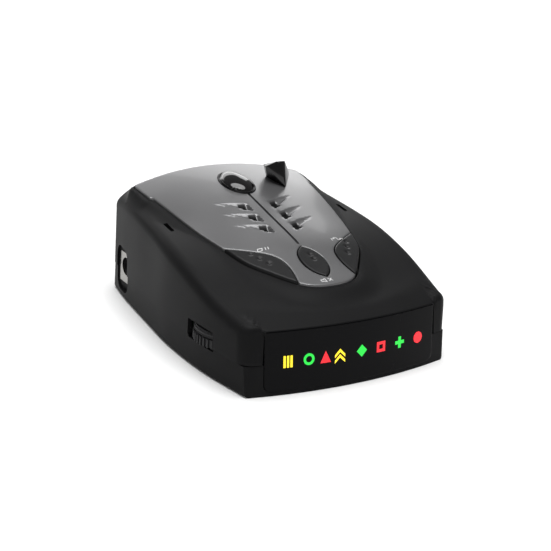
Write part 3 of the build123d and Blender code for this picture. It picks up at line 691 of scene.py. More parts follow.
class SignGlow:
    """Finish of the lit signs: each sign has its own colour by its place in the row."""

    edges = (-20.5, -13.9, -9.1, -2.5, 5.3, 12.6, 20.3)
    YELLOW, GREEN, RED = (0.9, 0.72, 0.02), (0.01, 0.62, 0.05), (0.8, 0.01, 0.02)
    colours = (YELLOW, GREEN, RED, YELLOW, GREEN, RED, GREEN, RED)

    def material(self) -> bpy.types.Material:
        """Builds the finish."""
        made = bpy.data.materials.new("lit_signs")
        made.use_nodes = True
        nodes, link = made.node_tree.nodes, made.node_tree.links.new
        shader = nodes["Principled BSDF"]
        split = nodes.new("ShaderNodeSeparateXYZ")
        link(nodes.new("ShaderNodeTexCoord").outputs["Object"], split.inputs["Vector"])
        share = nodes.new("ShaderNodeMapRange")
        share.inputs["From Min"].default_value = -30 * MM
        share.inputs["From Max"].default_value = 30 * MM
        link(split.outputs["X"], share.inputs["Value"])
        ramp = nodes.new("ShaderNodeValToRGB")
        ramp.color_ramp.interpolation = "CONSTANT"
        ramp.color_ramp.elements[0].color = (*self.colours[0], 1)
        ramp.color_ramp.elements.remove(ramp.color_ramp.elements[1])
        for at, colour in zip(self.edges, self.colours[1:]):
            ramp.color_ramp.elements.new((at + 30) / 60).color = (*colour, 1)
        link(share.outputs["Result"], ramp.inputs["Fac"])
        grain = nodes.new("ShaderNodeTexNoise")
        grain.inputs["Scale"].default_value = 1800
        bump = nodes.new("ShaderNodeBump")
        bump.inputs["Strength"].default_value = 0.1
        bump.inputs["Distance"].default_value = 0.00005
        link(grain.outputs["Fac"], bump.inputs["Height"])
        link(bump.outputs["Normal"], shader.inputs["Normal"])
        link(ramp.outputs["Color"], shader.inputs["Base Color"])
        link(ramp.outputs["Color"], shader.inputs["Emission Color"])
        shader.inputs["Emission Strength"].default_value = 0.75
        shader.inputs["Roughness"].default_value = 0.35
        return made


# ------------------------------------------------------------------ pattern trees
class Pattern:
    """A Geometry Nodes tree that sets one piece on every point of a mesh."""

    def __init__(self, name: str) -> None:
        """Builds the tree with its named inputs."""
        self.tree = bpy.data.node_groups.new(name, "GeometryNodeTree")
        face = self.tree.interface
        face.new_socket("Geometry", in_out="INPUT", socket_type="NodeSocketGeometry")
        kinds = (("Piece", "NodeSocketObject"), ("Length", "NodeSocketFloat"),
                 ("Finish", "NodeSocketMaterial"), ("Centre", "NodeSocketVector"),
                 ("Radial", "NodeSocketBool"))
        self.sockets = {n: face.new_socket(n, in_out="INPUT", socket_type=k).identifier for n, k in kinds}
        face.new_socket("Geometry", in_out="OUTPUT", socket_type="NodeSocketGeometry")
        nodes, link = self.tree.nodes, self.tree.links.new
        given = nodes.new("NodeGroupInput")
        info = nodes.new("GeometryNodeObjectInfo")
        link(given.outputs["Piece"], info.inputs["Object"])
        away = nodes.new("ShaderNodeVectorMath")
        away.operation = "SUBTRACT"
        link(nodes.new("GeometryNodeInputPosition").outputs[0], away.inputs[0])
        link(given.outputs["Centre"], away.inputs[1])
        aim = nodes.new("FunctionNodeAlignRotationToVector")
        aim.axis = "X"
        link(away.outputs["Vector"], aim.inputs["Vector"])
        pick = nodes.new("GeometryNodeSwitch")
        pick.input_type = "ROTATION"
        link(given.outputs["Radial"], pick.inputs["Switch"])
        link(aim.outputs["Rotation"], pick.inputs["True"])
        tall = nodes.new("ShaderNodeCombineXYZ")
        tall.inputs["X"].default_value = tall.inputs["Y"].default_value = 1.0
        link(given.outputs["Length"], tall.inputs["Z"])
        put = nodes.new("GeometryNodeInstanceOnPoints")
        link(given.outputs["Geometry"], put.inputs["Points"])
        link(info.outputs["Geometry"], put.inputs["Instance"])
        link(pick.outputs["Output"], put.inputs["Rotation"])
        link(tall.outputs["Vector"], put.inputs["Scale"])
        real = nodes.new("GeometryNodeRealizeInstances")
        link(put.outputs["Instances"], real.inputs["Geometry"])
        paint = nodes.new("GeometryNodeSetMaterial")
        link(real.outputs["Geometry"], paint.inputs["Geometry"])
        link(given.outputs["Finish"], paint.inputs["Material"])
        link(paint.outputs["Geometry"], nodes.new("NodeGroupOutput").inputs[0])

    def lay(self, name: str, piece: bpy.types.Object, points: Sequence, finish: Finish,
            centre: Optional[Sequence[float]] = None, length: float = 1.0) -> bpy.types.Object:
        """Sets the piece on each point and makes the row a plain mesh.

        Args:
            name: name of the finished object.
            piece: the object to repeat, drawn about the origin; it is removed.
            points: places in millimetres.
            finish: the finish of the row.
            centre: point that each piece turns away from, or None for no turn.
            length: stretch along Z.

        Returns:
            The finished object.
        """
        mesh = bpy.data.meshes.new(name)
        mesh.from_pydata([tuple(c * MM for c in p) for p in points], [], [])
        base = bpy.data.objects.new(name + "_points", mesh)
        bpy.context.collection.objects.link(base)
        change = base.modifiers.new("pattern", "NODES")
        change.node_group = self.tree
        change[self.sockets["Piece"]] = piece
        change[self.sockets["Length"]] = length
        change[self.sockets["Finish"]] = finish.material()
        change[self.sockets["Radial"]] = centre is not None
        if centre is not None:
            change[self.sockets["Centre"]] = [c * MM for c in centre]
        row = plain(base, name)
        bpy.data.objects.remove(piece)
        return row


def dress(piece: bpy.types.Object, finish: Finish, body: str, *nodes: str,
          slot: Optional[str] = None) -> None:
    """Gives a piece its finish, its body and the nodes it stands for.

    Args:
        piece: the finished object.
        finish: its finish.
        body: the body it rides on.
        nodes: CAD nodes that it replaces.
        slot: the record's material slot, if it has one. Not used.
    """
    piece.data.materials.clear()
    piece.data.materials.append(finish.material())
    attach(piece, body)
    if nodes:
        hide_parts(*nodes)
    log.info("%s: %d faces, rides on %s", piece.name, len(piece.data.polygons), body)


# ------------------------------------------------------------------ assemblies
@dataclass
class CaseShell:
    """The moulded upper case: side walls, shoulders, brow facet, deck and raised nest.

    Attributes:
        wall: wall thickness.
        shoulder: radius of the shoulder.
        gap: gap round the top panel.
        lip: how far the nest's rim lies under the panel surface.
        strip_soft: radius of the top edge of the front's end strips.
        window_soft: radius of the edge above the window.
        brow_foot: height at which the brow facet starts.
        brow_top: station of the facet's upper end at the middle, and how much further back it is at the ends.
        brow_half: half width of the facet at its foot.
        brow_splay: how fast the facet widens to the rear.
        joint: gap at the parting line.
        wheel_window: half width, lowest and highest point of the wheel's window.
        recess: half width, half height and corner radius of the jack recess.
        slot: half width, first and last station of a bracket slot.
        slot_inset: distance of a slot from the side of the case.
        shares: places of the rings between shoulder and nest, as shares of the way.
    """

    wall: float = 1.8
    shoulder: float = 3.6
    gap: float = 0.3
    lip: float = 0.45
    strip_soft: float = 1.5
    window_soft: float = 0.28
    brow_foot: float = 19.9
    brow_top: Point = (7.2, 9.6)
    brow_half: float = 31.3
    brow_splay: float = 0.38
    joint: float = 0.3
    wheel_window: tuple[float, float, float] = (6.8, 8.8, 15.0)
    recess: tuple[float, float, float] = (5.75, 7.9, 3.6)
    slot: tuple[float, float, float] = (0.7, 59.6, 65.2)
    slot_inset: float = 6.0
    shares: tuple[float, ...] = (0.06, 0.13, 0.2, 0.27, 0.34, 0.41, 0.48, 0.55, 0.62, 0.69, 0.76, 0.82, 0.87,
                                 0.91, 0.95, 0.975)

    def inner(self, outer: Loop) -> Loop:
        """Point of the panel edge that faces each point of the outline.

        Args:
            outer: the outline.

        Returns:
            One point of the panel edge for each point of the outline.
        """
        centre = np.array([0.0, FORM.y(60)])
        edge = FORM.panel_loop(self.gap) - centre
        at = np.arctan2(edge[:, 1], edge[:, 0])
        order = np.argsort(at)
        reach = np.hypot(*edge.T)[order]
        way = outer - centre
        turn_to = np.arctan2(way[:, 1], way[:, 0])
        r = np.interp(turn_to, at[order], reach, period=2 * math.pi)
        return centre + np.stack([np.cos(turn_to), np.sin(turn_to)], 1) * r[:, None]

    def brow(self, x: np.ndarray, y: np.ndarray) -> np.ndarray:
        """Height of the facet in front of the deck; far above it elsewhere.

        Args:
            x: places across.
            y: places along.

        Returns:
            Heights of the facet.
        """
        y_low = -FORM.length / 2 + FORM.lean * self.brow_foot + FORM.front_bow * (x / FORM.nose) ** 2
        y_high = -FORM.length / 2 + self.brow_top[0] + self.brow_top[1] * (x / FORM.nose) ** 2
        z_high = FORM.deck(x, y_high)
        facet = self.brow_foot + (z_high - self.brow_foot) * (y - y_low) / (y_high - y_low)
        limit = self.brow_half + self.brow_splay * (y - y_low)
        return facet + np.clip((np.abs(x) - limit) / 2.5, 0, 1) * 4

    def radius(self, loop: Loop) -> np.ndarray:
        """Radius of the top edge along the outline.

        Args:
            loop: a closed loop.

        Returns:
            One radius for each point.
        """
        way = normals(loop)
        at_front = np.clip(-way[:, 1], 0, 1) ** 2
        window = np.abs(loop[:, 0]) < FORM.window_half
        soft = self.shoulder * (1 - at_front) + self.strip_soft * at_front
        front_only = (loop[:, 1] < 0) & window
        return np.where(front_only, self.window_soft, soft)

    def deck(self, p: np.ndarray, edge: Loop, outline: Loop) -> np.ndarray:
        """Height of the top surface between the panel and the shoulder.

        Args:
            p: flat points.
            edge: edge of the panel.
            outline: outline of the case.

        Returns:
            Heights at the points.
        """
        x, y = p[:, 0], p[:, 1]
        base = np.minimum(FORM.deck(x, y), self.brow(x, y))
        away = distance(p, edge)
        room = away + distance(p, outline)
        reach = np.clip(room - 2.2, 1.6, 7.5)
        t = np.clip((away - 1.3) / reach, 0, 1)
        rise = 1 - t * t * (3 - 2 * t)
        back = np.clip((y - FORM.y(91.3)) / 0.8, 0, 1)
        rim = FORM.panel(x, y) - self.lip - 1.0 * back
        rim = rim - 0.35 * np.clip(1 - away / 0.35, 0, 1) ** 2
        return base + np.maximum(rim - base, 0) * rise

    def sheet(self, inset: float) -> list[np.ndarray]:
        """Rings of one side of the wall, from the parting line up, over and down to the nest floor.

        Args:
            inset: 0 for the outside of the wall, its thickness for the inside.

        Returns:
            The rings, each with one point for each point of the outline.
        """
        top = FORM.outline(20.0)
        out = normals(top)
        edge = self.inner(top)
        panel_edge = resampled(FORM.panel_loop(self.gap), 1.0)
        coarse = resampled(top, 1.5)
        r = np.maximum(self.radius(top) - inset, 0.2)
        window = (np.abs(top[:, 0]) <= FORM.window_half + 1e-6) & (top[:, 1] < 0)
        low = np.where(window, FORM.window_top, FORM.parting + self.joint)
        rings: list[np.ndarray] = []
        shoulder = []
        for angle in np.linspace(90, 0, 9):
            a = math.radians(angle)
            p = top - out * (inset + r * (1 - math.sin(a)))[:, None]
            z = self.deck(p, panel_edge, coarse) - inset - r * (1 - math.cos(a))
            if inset:
                z = np.where(window, np.maximum(z, FORM.window_top), z)
            shoulder.append(np.column_stack([p, z]))
        foot = shoulder[0]
        for share in np.linspace(0, 1, 8)[:-1]:
            z = low + (foot[:, 2] - low) * share
            lead = FORM.lean * (z - 20.0) * np.clip(-out[:, 1], 0, 1)
            rings.append(np.column_stack([foot[:, 0], foot[:, 1] + lead, z]))
        rings += shoulder
        start = shoulder[-1][:, :2]
        run = np.hypot(*(start - edge).T)
        for share in self.shares:
            p = start + (edge - start) * share
            z = self.deck(p, panel_edge, coarse) - inset
            if inset:
                z = np.where(window & (share * run < 4), np.maximum(z, FORM.window_top), z)
            rings.append(np.column_stack([p, z]))
        out_step = (start - edge) / run[:, None]
        if not inset:
            for step in (0.3, 0.12, 0.0):
                p = edge + out_step * step
                fall = 0.12 if step == 0 else 0
                rings.append(np.column_stack([p, self.deck(p, panel_edge, coarse) - fall]))
            rings.append(np.column_stack([edge, FORM.panel(*edge.T) - 3.3]))
        else:
            p = edge + out_step * 0.3
            rings.append(np.column_stack([p, FORM.panel(*p.T) - 3.4]))
        return rings

    def cutters(self) -> bpy.types.Object:
        """Everything cut through the walls: wheel window, jack recess, slots, horn and laser openings."""
        low, high = (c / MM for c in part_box("volume_wheel"))
        jack_low, jack_high = (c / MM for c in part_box("jack_plate"))
        wheel_y = (low.y + high.y) / 2
        wheel = Vector((low.x + 11.0, wheel_y, 0))
        jack_y, jack_z = (jack_low.y + jack_high.y) / 2, (jack_low.z + jack_high.z) / 2
        cover_low, cover_high = (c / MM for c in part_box("horn_cover"))
        eye_low, eye_high = (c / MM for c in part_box("laser_window"))
        half, low_z, high_z = self.wheel_window
        wide, tall, corner = self.recess
        thin, slot_front, slot_rear = self.slot
        slot_middle = FORM.y((slot_front + slot_rear) / 2)
        slot_x = float(FORM.half(np.array([slot_middle]))[0]) - self.slot_inset
        parts = [
            block("cut_wheel", (-47, wheel_y - half, low_z), (wheel.x, wheel_y + half, high_z), 0.5, 0),
            lathe("cut_round", ((0.01, 8.7), (11.3, 8.7), (11.3, 15.1), (0.01, 15.1)), (wheel.x, wheel_y)),
            block("cut_jack", (-46, jack_y - wide, jack_z - tall),
                  (jack_low.x, jack_y + wide, jack_z + tall), corner, 0),
            block("cut_plug", (jack_low.x - 1, jack_low.y - 0.1, jack_low.z - 0.1),
                  (jack_low.x + 14, jack_high.y + 0.1, jack_high.z + 0.1), 0.02, 0),
            block("cut_cover", (cover_low.x - 0.1, cover_low.y - 4, cover_low.z - 0.1),
                  (cover_high.x + 0.1, 60, cover_high.z + 0.1), 3.0, 1),
            block("cut_eye", (eye_low.x - 0.1, eye_low.y - 5, eye_low.z - 0.1),
                  (eye_high.x + 0.1, 60, eye_high.z + 0.1), 0.3, 1),
        ]
        for side in (-1, 1):
            parts.append(block("cut_slot", (side * slot_x - thin, FORM.y(slot_front), 24),
                               (side * slot_x + thin, FORM.y(slot_rear), 45), 0.3))
        return joined("cut_all", parts)

    def floor(self) -> bpy.types.Object:
        """The web under the top panel, with its openings for keys and lens stems."""
        holes = [*KEYS.openings(0.25), *LENSES.holes(0.1)]
        upper, lower = over(FORM.panel, 1.65), over(FORM.panel, 3.2)
        return Sheet(FORM.panel_loop(0.28), upper, lower, 2.0, holes).build("web")

    def build(self) -> None:
        """Makes the shell and dresses it."""
        outer, inner = self.sheet(0.0), self.sheet(self.wall)
        rings = outer + inner[::-1]
        n = len(rings[0])
        count = len(rings)
        verts = np.vstack(rings)
        faces = [(k * n + i, k * n + (i + 1) % n, after * n + (i + 1) % n, after * n + i)
                 for k in range(count) for after in [(k + 1) % count] for i in range(n)]
        shell = as_object("shell_raw", verts, faces)
        change = shell.modifiers.new("openings", "BOOLEAN")
        change.operation = "DIFFERENCE"
        change.solver = "EXACT"
        change.use_self = True
        cutter = self.cutters()
        change.object = cutter
        shell = plain(shell, "shell_cut")
        bpy.data.objects.remove(cutter)
        pads = self.jack_pad()
        whole = joined("case_upper_shell", [shell, self.floor(), *pads], 32)
        dress(whole, CASE, "case", "upper_case", slot="case_black")

    def jack_pad(self) -> list[bpy.types.Object]:
        """Floor and walls behind the jack recess."""
        low, high = (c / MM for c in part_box("jack_plate"))
        x, foot, top = low.x, FORM.parting + self.joint, (low.z + high.z) / 2 + 9.0
        return [
            block("pad", (x + 0.01, low.y - 2.2, foot), (x + 1.6, low.y - 0.15, top), 0.1, 0),
            block("pad", (x + 0.01, high.y + 0.15, foot), (x + 1.6, high.y + 2.2, top), 0.1, 0),
            block("pad", (x + 0.01, low.y - 0.15, high.z + 0.15), (x + 1.6, high.y + 0.15, top), 0.1, 0),
        ]


@dataclass
class Keys:
    """The three press keys: two crescents at the panel's sides and a leaf on its middle line.

    Attributes:
        proud: how far a key stands over the panel.
        skirt: depth of the cap under the panel surface.
        dimple: radius of a finger dimple.
        tilt: tilt of the keys' travel, in degrees.
        side_gap: how much larger a side key's opening in the web is than the key.
    """

    proud: float = 0.3
    skirt: float = 4.2
    dimple: float = 0.75
    side_gap: float = 0.22
    tilt: float = 16.0
    inner = ((26.5, 44.6), (22.7, 42.0), (15.2, 36.9), (10.7, 32.6), (9.6, 28.0), (10.1, 23.0), (11.4, 18.0))
    side_dimples = ((17.9, 37.0), (16.4, 34.0), (14.7, 31.0))
    leaf = ((0, 20.6), (2.9, 23.6), (4.2, 28.6), (2.9, 33.4), (0, 36.2))

    def inner_line(self, grow: float) -> np.ndarray:
        """Inner edge of the right-hand key, from its rear end to its front end, grown towards the middle.

        Args:
            grow: how far it moves towards the middle.

        Returns:
            Its points inside the panel edge.
        """
        pts = np.array([(x, FORM.y(f)) for x, f in self.inner])
        run = np.concatenate([[0], np.cumsum(np.linalg.norm(np.diff(pts, axis=0), axis=1))])
        at = np.linspace(0, run[-1], 70)
        line = np.stack([spline(list(zip(run, pts[:, k])))(at) for k in (0, 1)], 1)
        step = np.gradient(line, axis=0)
        step /= np.linalg.norm(step, axis=1)[:, None]
        line = line + np.stack([step[:, 1], -step[:, 0]], 1) * grow
        rim = FORM.panel_loop()
        return np.array([p for p in line if inside(p[None], rim)[0]])

    def crescent(self, grow: float) -> Loop:
        """Plan of the right-hand key, grown along its inner edge.

        Args:
            grow: how far its inner edge moves outwards.

        Returns:
            The loop.
        """
        rim = FORM.panel_loop()
        keep = self.inner_line(grow)
        arc = [p for p in rim[:len(rim) // 2] if p[0] > 8 and keep[-1][1] < p[1] < keep[0][1]]
        return resampled(np.array(arc + list(keep)), 0.6)

    def mute(self, grow: float) -> Loop:
        """Plan of the leaf-shaped key, grown all round.

        Args:
            grow: how far it grows.

        Returns:
            The loop.
        """
        pts = np.array([(x, FORM.y(f)) for x, f in self.leaf])
        both = np.vstack([pts, (pts * (-1, 1))[-2:0:-1]])
        right = np.stack([spline(list(zip(range(5), both[:5, k])))(np.linspace(0, 4, 40)) for k in (0, 1)], 1)
        return grown(resampled(np.vstack([right, (right * (-1, 1))[-2:0:-1]]), 0.5), grow)

    def loops(self, grow: float) -> dict[str, Loop]:
        """Plans of the keys by name.

        Args:
            grow: how far each key grows.

        Returns:
            A loop for each key.
        """
        city = self.crescent(grow)
        return {"dim": (city * (-1, 1))[::-1], "mute": self.mute(grow), "city": city}

    def openings(self, grow: float) -> list[Loop]:
        """Openings in the web under the panel.

        Args:
            grow: gap round the middle key.

        Returns:
            The loops.
        """
        return [grown(loop, grow if name == "mute" else self.side_gap)
                for name, loop in self.loops(0).items()]

    def dimples(self, name: str) -> list[Point]:
        """Places of the finger dimples on one key.

        Args:
            name: the key.

        Returns:
            Flat places of its dimples.
        """
        if name == "mute":
            return [(0.6, FORM.y(f)) for f in (31.4, 29.2)]
        side = 1 if name == "city" else -1
        return [(side * x, FORM.y(f)) for x, f in self.side_dimples]

    def build(self) -> None:
        """Makes each key with its plunger."""
        tilt = math.radians(self.tilt)
        for name, loop in self.loops(0).items():
            spots = self.dimples(name)

            def surface(x: np.ndarray, y: np.ndarray, spots: list[Point] = spots) -> np.ndarray:
                """Top of the key with its dimples pressed in."""
                z = FORM.panel(x, y) + self.proud
                for px, py in spots:
                    z = z - 0.42 * np.exp(-(((x - px) ** 2 + (y - py) ** 2) / self.dimple ** 2) ** 1.5)
                return z

            under = over(FORM.panel, self.skirt)
            cap = Sheet(grown(loop, -0.06), over(surface, 0), under, 0.42, rim=0.45).build("cap")
            low, high = (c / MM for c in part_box(name + "_switch"))
            middle = (low + high) / 2
            way = Vector((0, -math.sin(tilt), math.cos(tilt)))
            base = middle + way * 2.62
            above = float(FORM.panel(np.array([base.x]), np.array([base.y]))[0])
            rise = (above - self.skirt + 0.6 - base.z) / way.z
            stem = rod("stem", base, base + way * rise, 1.6)
            whole = joined(name + "_key", [cap, stem], 40)
            dress(whole, KEY, name + "_button", name + "_button", slot="button_grey")


@dataclass
class Lenses:
    """The dome lens and the faceted fin lens on the panel.

    Attributes:
        dome_station: station of the dome's middle.
        hole: half width and half length of the dome's stem.
        dome: half width and half length of the dome.
        seat: half width and half length of the ring round the dome.
        bevel: width of the fin lens's bevels.
    """

    dome_station: float = 78.4
    hole: Point = (4.8, 6.9)
    dome: Point = (5.3, 7.5)
    seat: Point = (6.1, 8.4)
    bevel: float = 0.22
    fin = ((17.4, 73.6), (20.2, 76.6), (20.8, 83.0), (14.4, 83.0), (14.9, 77.0))

    def oval(self, a: float, b: float) -> Loop:
        """Oval outline round the dome's place.

        Args:
            a: half width.
            b: half length.

        Returns:
            The loop.
        """
        t = np.linspace(0, 2 * math.pi, 64, endpoint=False)
        return np.stack([a * np.cos(t), FORM.y(self.dome_station) + b * np.sin(t)], 1)

    def fin_loop(self, grow: float) -> Loop:
        """Outline of the fin lens's stem.

        Args:
            grow: how far it grows.

        Returns:
            The loop.
        """
        pts = np.array([(x, FORM.y(f)) for x, f in self.fin])
        centre = pts.mean(0)
        shrunk = centre + (pts - centre) * (1 + (grow - 0.9) / 3.0)
        return resampled(shrunk, 0.5)

    def holes(self, gap: float) -> list[Loop]:
        """Holes for both stems."""
        return [self.oval(self.hole[0] + gap, self.hole[1] + gap), self.fin_loop(gap)]

    def build(self) -> None:
        """Makes both lenses."""
        def bulge(x: np.ndarray, y: np.ndarray) -> np.ndarray:
            """Leaf-shaped dome, with a soft keel along its middle."""
            v = (y - FORM.y(self.dome_station)) / 7.6
            u = x / (5.4 * (1 - 0.18 * v))
            full = np.clip(1 - u ** 2 - v ** 2, 0, 1)
            return FORM.panel(x, y) + 0.05 + 2.35 * np.sqrt(full) - 0.25 * np.abs(u) * np.sqrt(full)

        dome = Sheet(self.oval(*self.dome), over(bulge, 0), over(FORM.panel, 0.0), 0.45).build("dome", 50)
        stem = Sheet(self.oval(4.7, 6.8), over(FORM.panel, -0.2), over(FORM.panel, 3.4), 1.5).build("stem")
        dress(joined("dome_lens_body", [dome, stem], 50), LENS, "case", "dome_lens", slot="ir_lens")
        seat = Sheet(self.oval(*self.seat), over(FORM.panel, -0.16), over(FORM.panel, -0.01), 0.5,
                     [self.oval(5.35, 7.55)], rim=0.1).build("dome_seat")
        dress(seat, GLOSS, "case", slot="gloss_black")
        s = FORM.y
        corners = [(16.9, s(73.3), 39.6), (10.9, s(77.6), 46.4), (14.2, s(76.4), 48.2), (15.8, s(75.4), 47.5),
                   (17.5, s(76.2), 48.2), (20.5, s(77.2), 43.2), (14.6, s(82.6), 40.4), (20.3, s(82.6), 39.6),
                   (12.8, s(82.6), 45.6), (18.4, s(82.8), 45.4), (14.9, s(77.0), 41.0), (19.6, s(77.4), 40.0)]
        gem = bmesh.new()
        for x, y, z in corners:
            gem.verts.new((x * MM, y * MM, z * MM))
        bmesh.ops.convex_hull(gem, input=gem.verts)
        bmesh.ops.dissolve_limit(gem, angle_limit=0.02, verts=gem.verts, edges=gem.edges)
        bmesh.ops.bevel(gem, geom=gem.edges[:], offset=self.bevel * MM, segments=2, affect="EDGES", profile=0.6)
        bmesh.ops.recalc_face_normals(gem, faces=gem.faces)
        mesh = bpy.data.meshes.new("gem")
        gem.to_mesh(mesh)
        gem.free()
        stalk = Sheet(self.fin_loop(0), over(FORM.panel, -0.9), over(FORM.panel, 3.4), 1.5).build("stalk")
        whole = joined("fin_lens_body", [finished("gem", mesh, 25), stalk], 25)
        dress(whole, LENS, "case", "fin_lens", slot="ir_lens")


KEYS = Keys()
LENSES = Lenses()


@dataclass
class TopPanel:
    """The grey panel with its centre groove, scooped gills and printed pictograms.

    Attributes:
        thick: its thickness.
        gill_first: station of the first gill.
        gill_pitch: distance between gills.
        gill: distance from the middle to its inner end and to its tip.
        gill_run: how far behind its first corner the other two lie.
        groove: half width, first and last station of the centre groove.
        groove_depth: depth of the groove.
    """

    thick: float = 1.6
    gill_first: float = 45.2
    gill_pitch: float = 7.05
    gill: Point = (4.5, 15.4)
    gill_run: Point = (5.2, 8.4)
    groove: tuple[float, float, float] = (0.42, 37.6, 72.0)
    groove_depth: float = 0.95
    dim_sign = ((-12.8, 38.0), (((-2.4, -0.6), (-0.8, -0.6), (-0.2, 0.6), (-1.8, 0.6), (-2.4, -0.6)),
                                ((0.6, -0.5), (0.9, 0.6)), ((1.6, -0.5), (1.9, 0.6))))
    city_sign = ((15.7, 38.6), (((-2.3, -0.6), (-2.3, 0.3), (-1.1, 0.3), (-1.1, 0.9), (0.1, 0.9), (0.1, -0.1),
                                 (1.2, -0.1), (1.2, 0.5), (2.2, 0.5), (2.2, -0.6)),))
    mute_sign = ((-0.9, 18.9), (((-2.2, -0.4), (-1.4, -0.4), (-0.6, -0.8), (-0.6, 0.8), (-1.4, 0.4),
                                 (-2.2, 0.4), (-2.2, -0.4)),
                                ((0.5, -0.6), (1.7, 0.6)), ((0.5, 0.6), (1.7, -0.6))))
    signs = (dim_sign, city_sign, mute_sign)

    def gills(self) -> list[tuple[Point, Point, Point]]:
        """Corners of each gill: inner front, inner rear and outer tip.

        Returns:
            Three corners for each of the six gills.
        """
        rows = []
        for k in range(3):
            f = self.gill_first + k * self.gill_pitch
            for side in (-1, 1):
                near, tip = side * self.gill[0], side * self.gill[1]
                rear, reach = (FORM.y(f + run) for run in self.gill_run)
                rows.append(((near, FORM.y(f)), (near, rear), (tip, reach)))
        return rows

    def surface(self, x: np.ndarray, y: np.ndarray) -> np.ndarray:
        """Top of the panel, scooped at the gills and cut at the groove.

        Args:
            x: places across.
            y: places along.

        Returns:
            Heights at the places.
        """
        z = FORM.panel(x, y)
        for (ax, ay), (bx, by), (cx, cy) in self.gills():
            area = (bx - ax) * (cy - ay) - (cx - ax) * (by - ay)
            u = ((bx - x) * (cy - y) - (cx - x) * (by - y)) / area
            v = ((cx - x) * (ay - y) - (ax - x) * (cy - y)) / area
            w = 1 - u - v
            hit = (u > -1e-6) & (v > -1e-6) & (w > -1e-6)
            across = np.clip(v / (u + v + 1e-6), 0, 1)
            depth = 1.25 * np.clip(1 - w, 0, 1) ** 1.5 * np.clip(3 * np.minimum(across, 1 - across), 0, 1)
            z = np.where(hit, z - depth, z)
        half, first, last = self.groove
        groove = (np.abs(x) < half) & (y > FORM.y(first)) & (y < FORM.y(last))
        return np.where(groove, z - self.groove_depth, z)

    def build(self) -> None:
        """Makes the panel and its print."""
        holes = [grown(KEYS.mute(0), 0.25), *LENSES.holes(0.1)]
        creases = []
        for a, b, c in self.gills():
            centre = (np.array(a) + np.array(b) + np.array(c)) / 3
            tri = np.array([a, b, c])
            for shrink in (1.0, 0.93):
                creases.append(resampled(centre + (tri - centre) * shrink, 0.5))
            inner = np.sign(a[0])
            low, high = a[1] + 0.6, b[1] - 0.15
            throat = np.array([(inner * 4.9, low), (inner * 7.2, low + 0.9),
                               (inner * 7.2, high + 0.35), (inner * 4.9, high - 0.2)])
            if inner < 0:
                throat = throat[::-1]
            holes.append(resampled(throat, 0.4))
        for half in (0.40, 0.47):
            creases.append(resampled(np.array([(-half, FORM.y(37.55)), (half, FORM.y(37.55)),
                                               (half, FORM.y(72)), (-half, FORM.y(72))]), 0.8))
        sides = over(self.surface, 0), over(FORM.panel, self.thick)
        panel = Sheet(self.outline(), *sides, 0.8, holes, creases, 0.22).build("panel_plate", 28)
        dress(panel, PANEL, "case", "top_panel", slot="panel_grey")
        self.print_signs()

    def outline(self) -> Loop:
        """Panel outline less the two side keys."""
        rim = FORM.panel_loop()
        line = KEYS.inner_line(0.25)
        half = rim[:len(rim) // 2 + 1]
        before = [p for p in half if p[1] < line[-1][1] and p[0] >= 0]
        after = [p for p in half if p[1] > line[0][1] and p[0] >= 0]
        right = np.array(before + list(line[::-1]) + after)
        right = right[(right[:, 0] > 0.01)]
        front, back = np.array([[0, rim[0][1]]]), np.array([[0, half[-1][1]]])
        return np.vstack([front, right, back, (right * (-1, 1))[::-1]])

    def stroke(self, marks: Sequence[Point], width: float = 0.34) -> bpy.types.Object:
        """One printed stroke along straight runs, laid on the panel.

        Args:
            marks: ends of its straight runs.
            width: width of the stroke.

        Returns:
            The stroke.
        """
        pts = np.array(marks, float)
        parts = []
        for a, b in zip(pts, pts[1:]):
            d = (b - a) / np.linalg.norm(b - a)
            side = np.array([-d[1], d[0]]) * width / 2
            a2, b2 = a - d * width / 2, b + d * width / 2
            loop = resampled(np.array([a2 - side, b2 - side, b2 + side, a2 + side]), 0.4)
            parts.append(Sheet(loop, over(FORM.panel, -0.04), over(FORM.panel, 0.0), 0.4).build("stroke"))
        return joined("stroke", parts)

    def print_signs(self) -> None:
        """Small pictograms beside the keys: a slanted box with two bars, a skyline and a crossed speaker."""
        strokes = []
        for centre, runs in self.signs:
            for run in runs:
                strokes.append(self.stroke([(centre[0] + x, FORM.y(centre[1]) + y) for x, y in run], 0.3))
        dress(joined("panel_pictograms", strokes), LABEL, "case", slot="panel_grey")


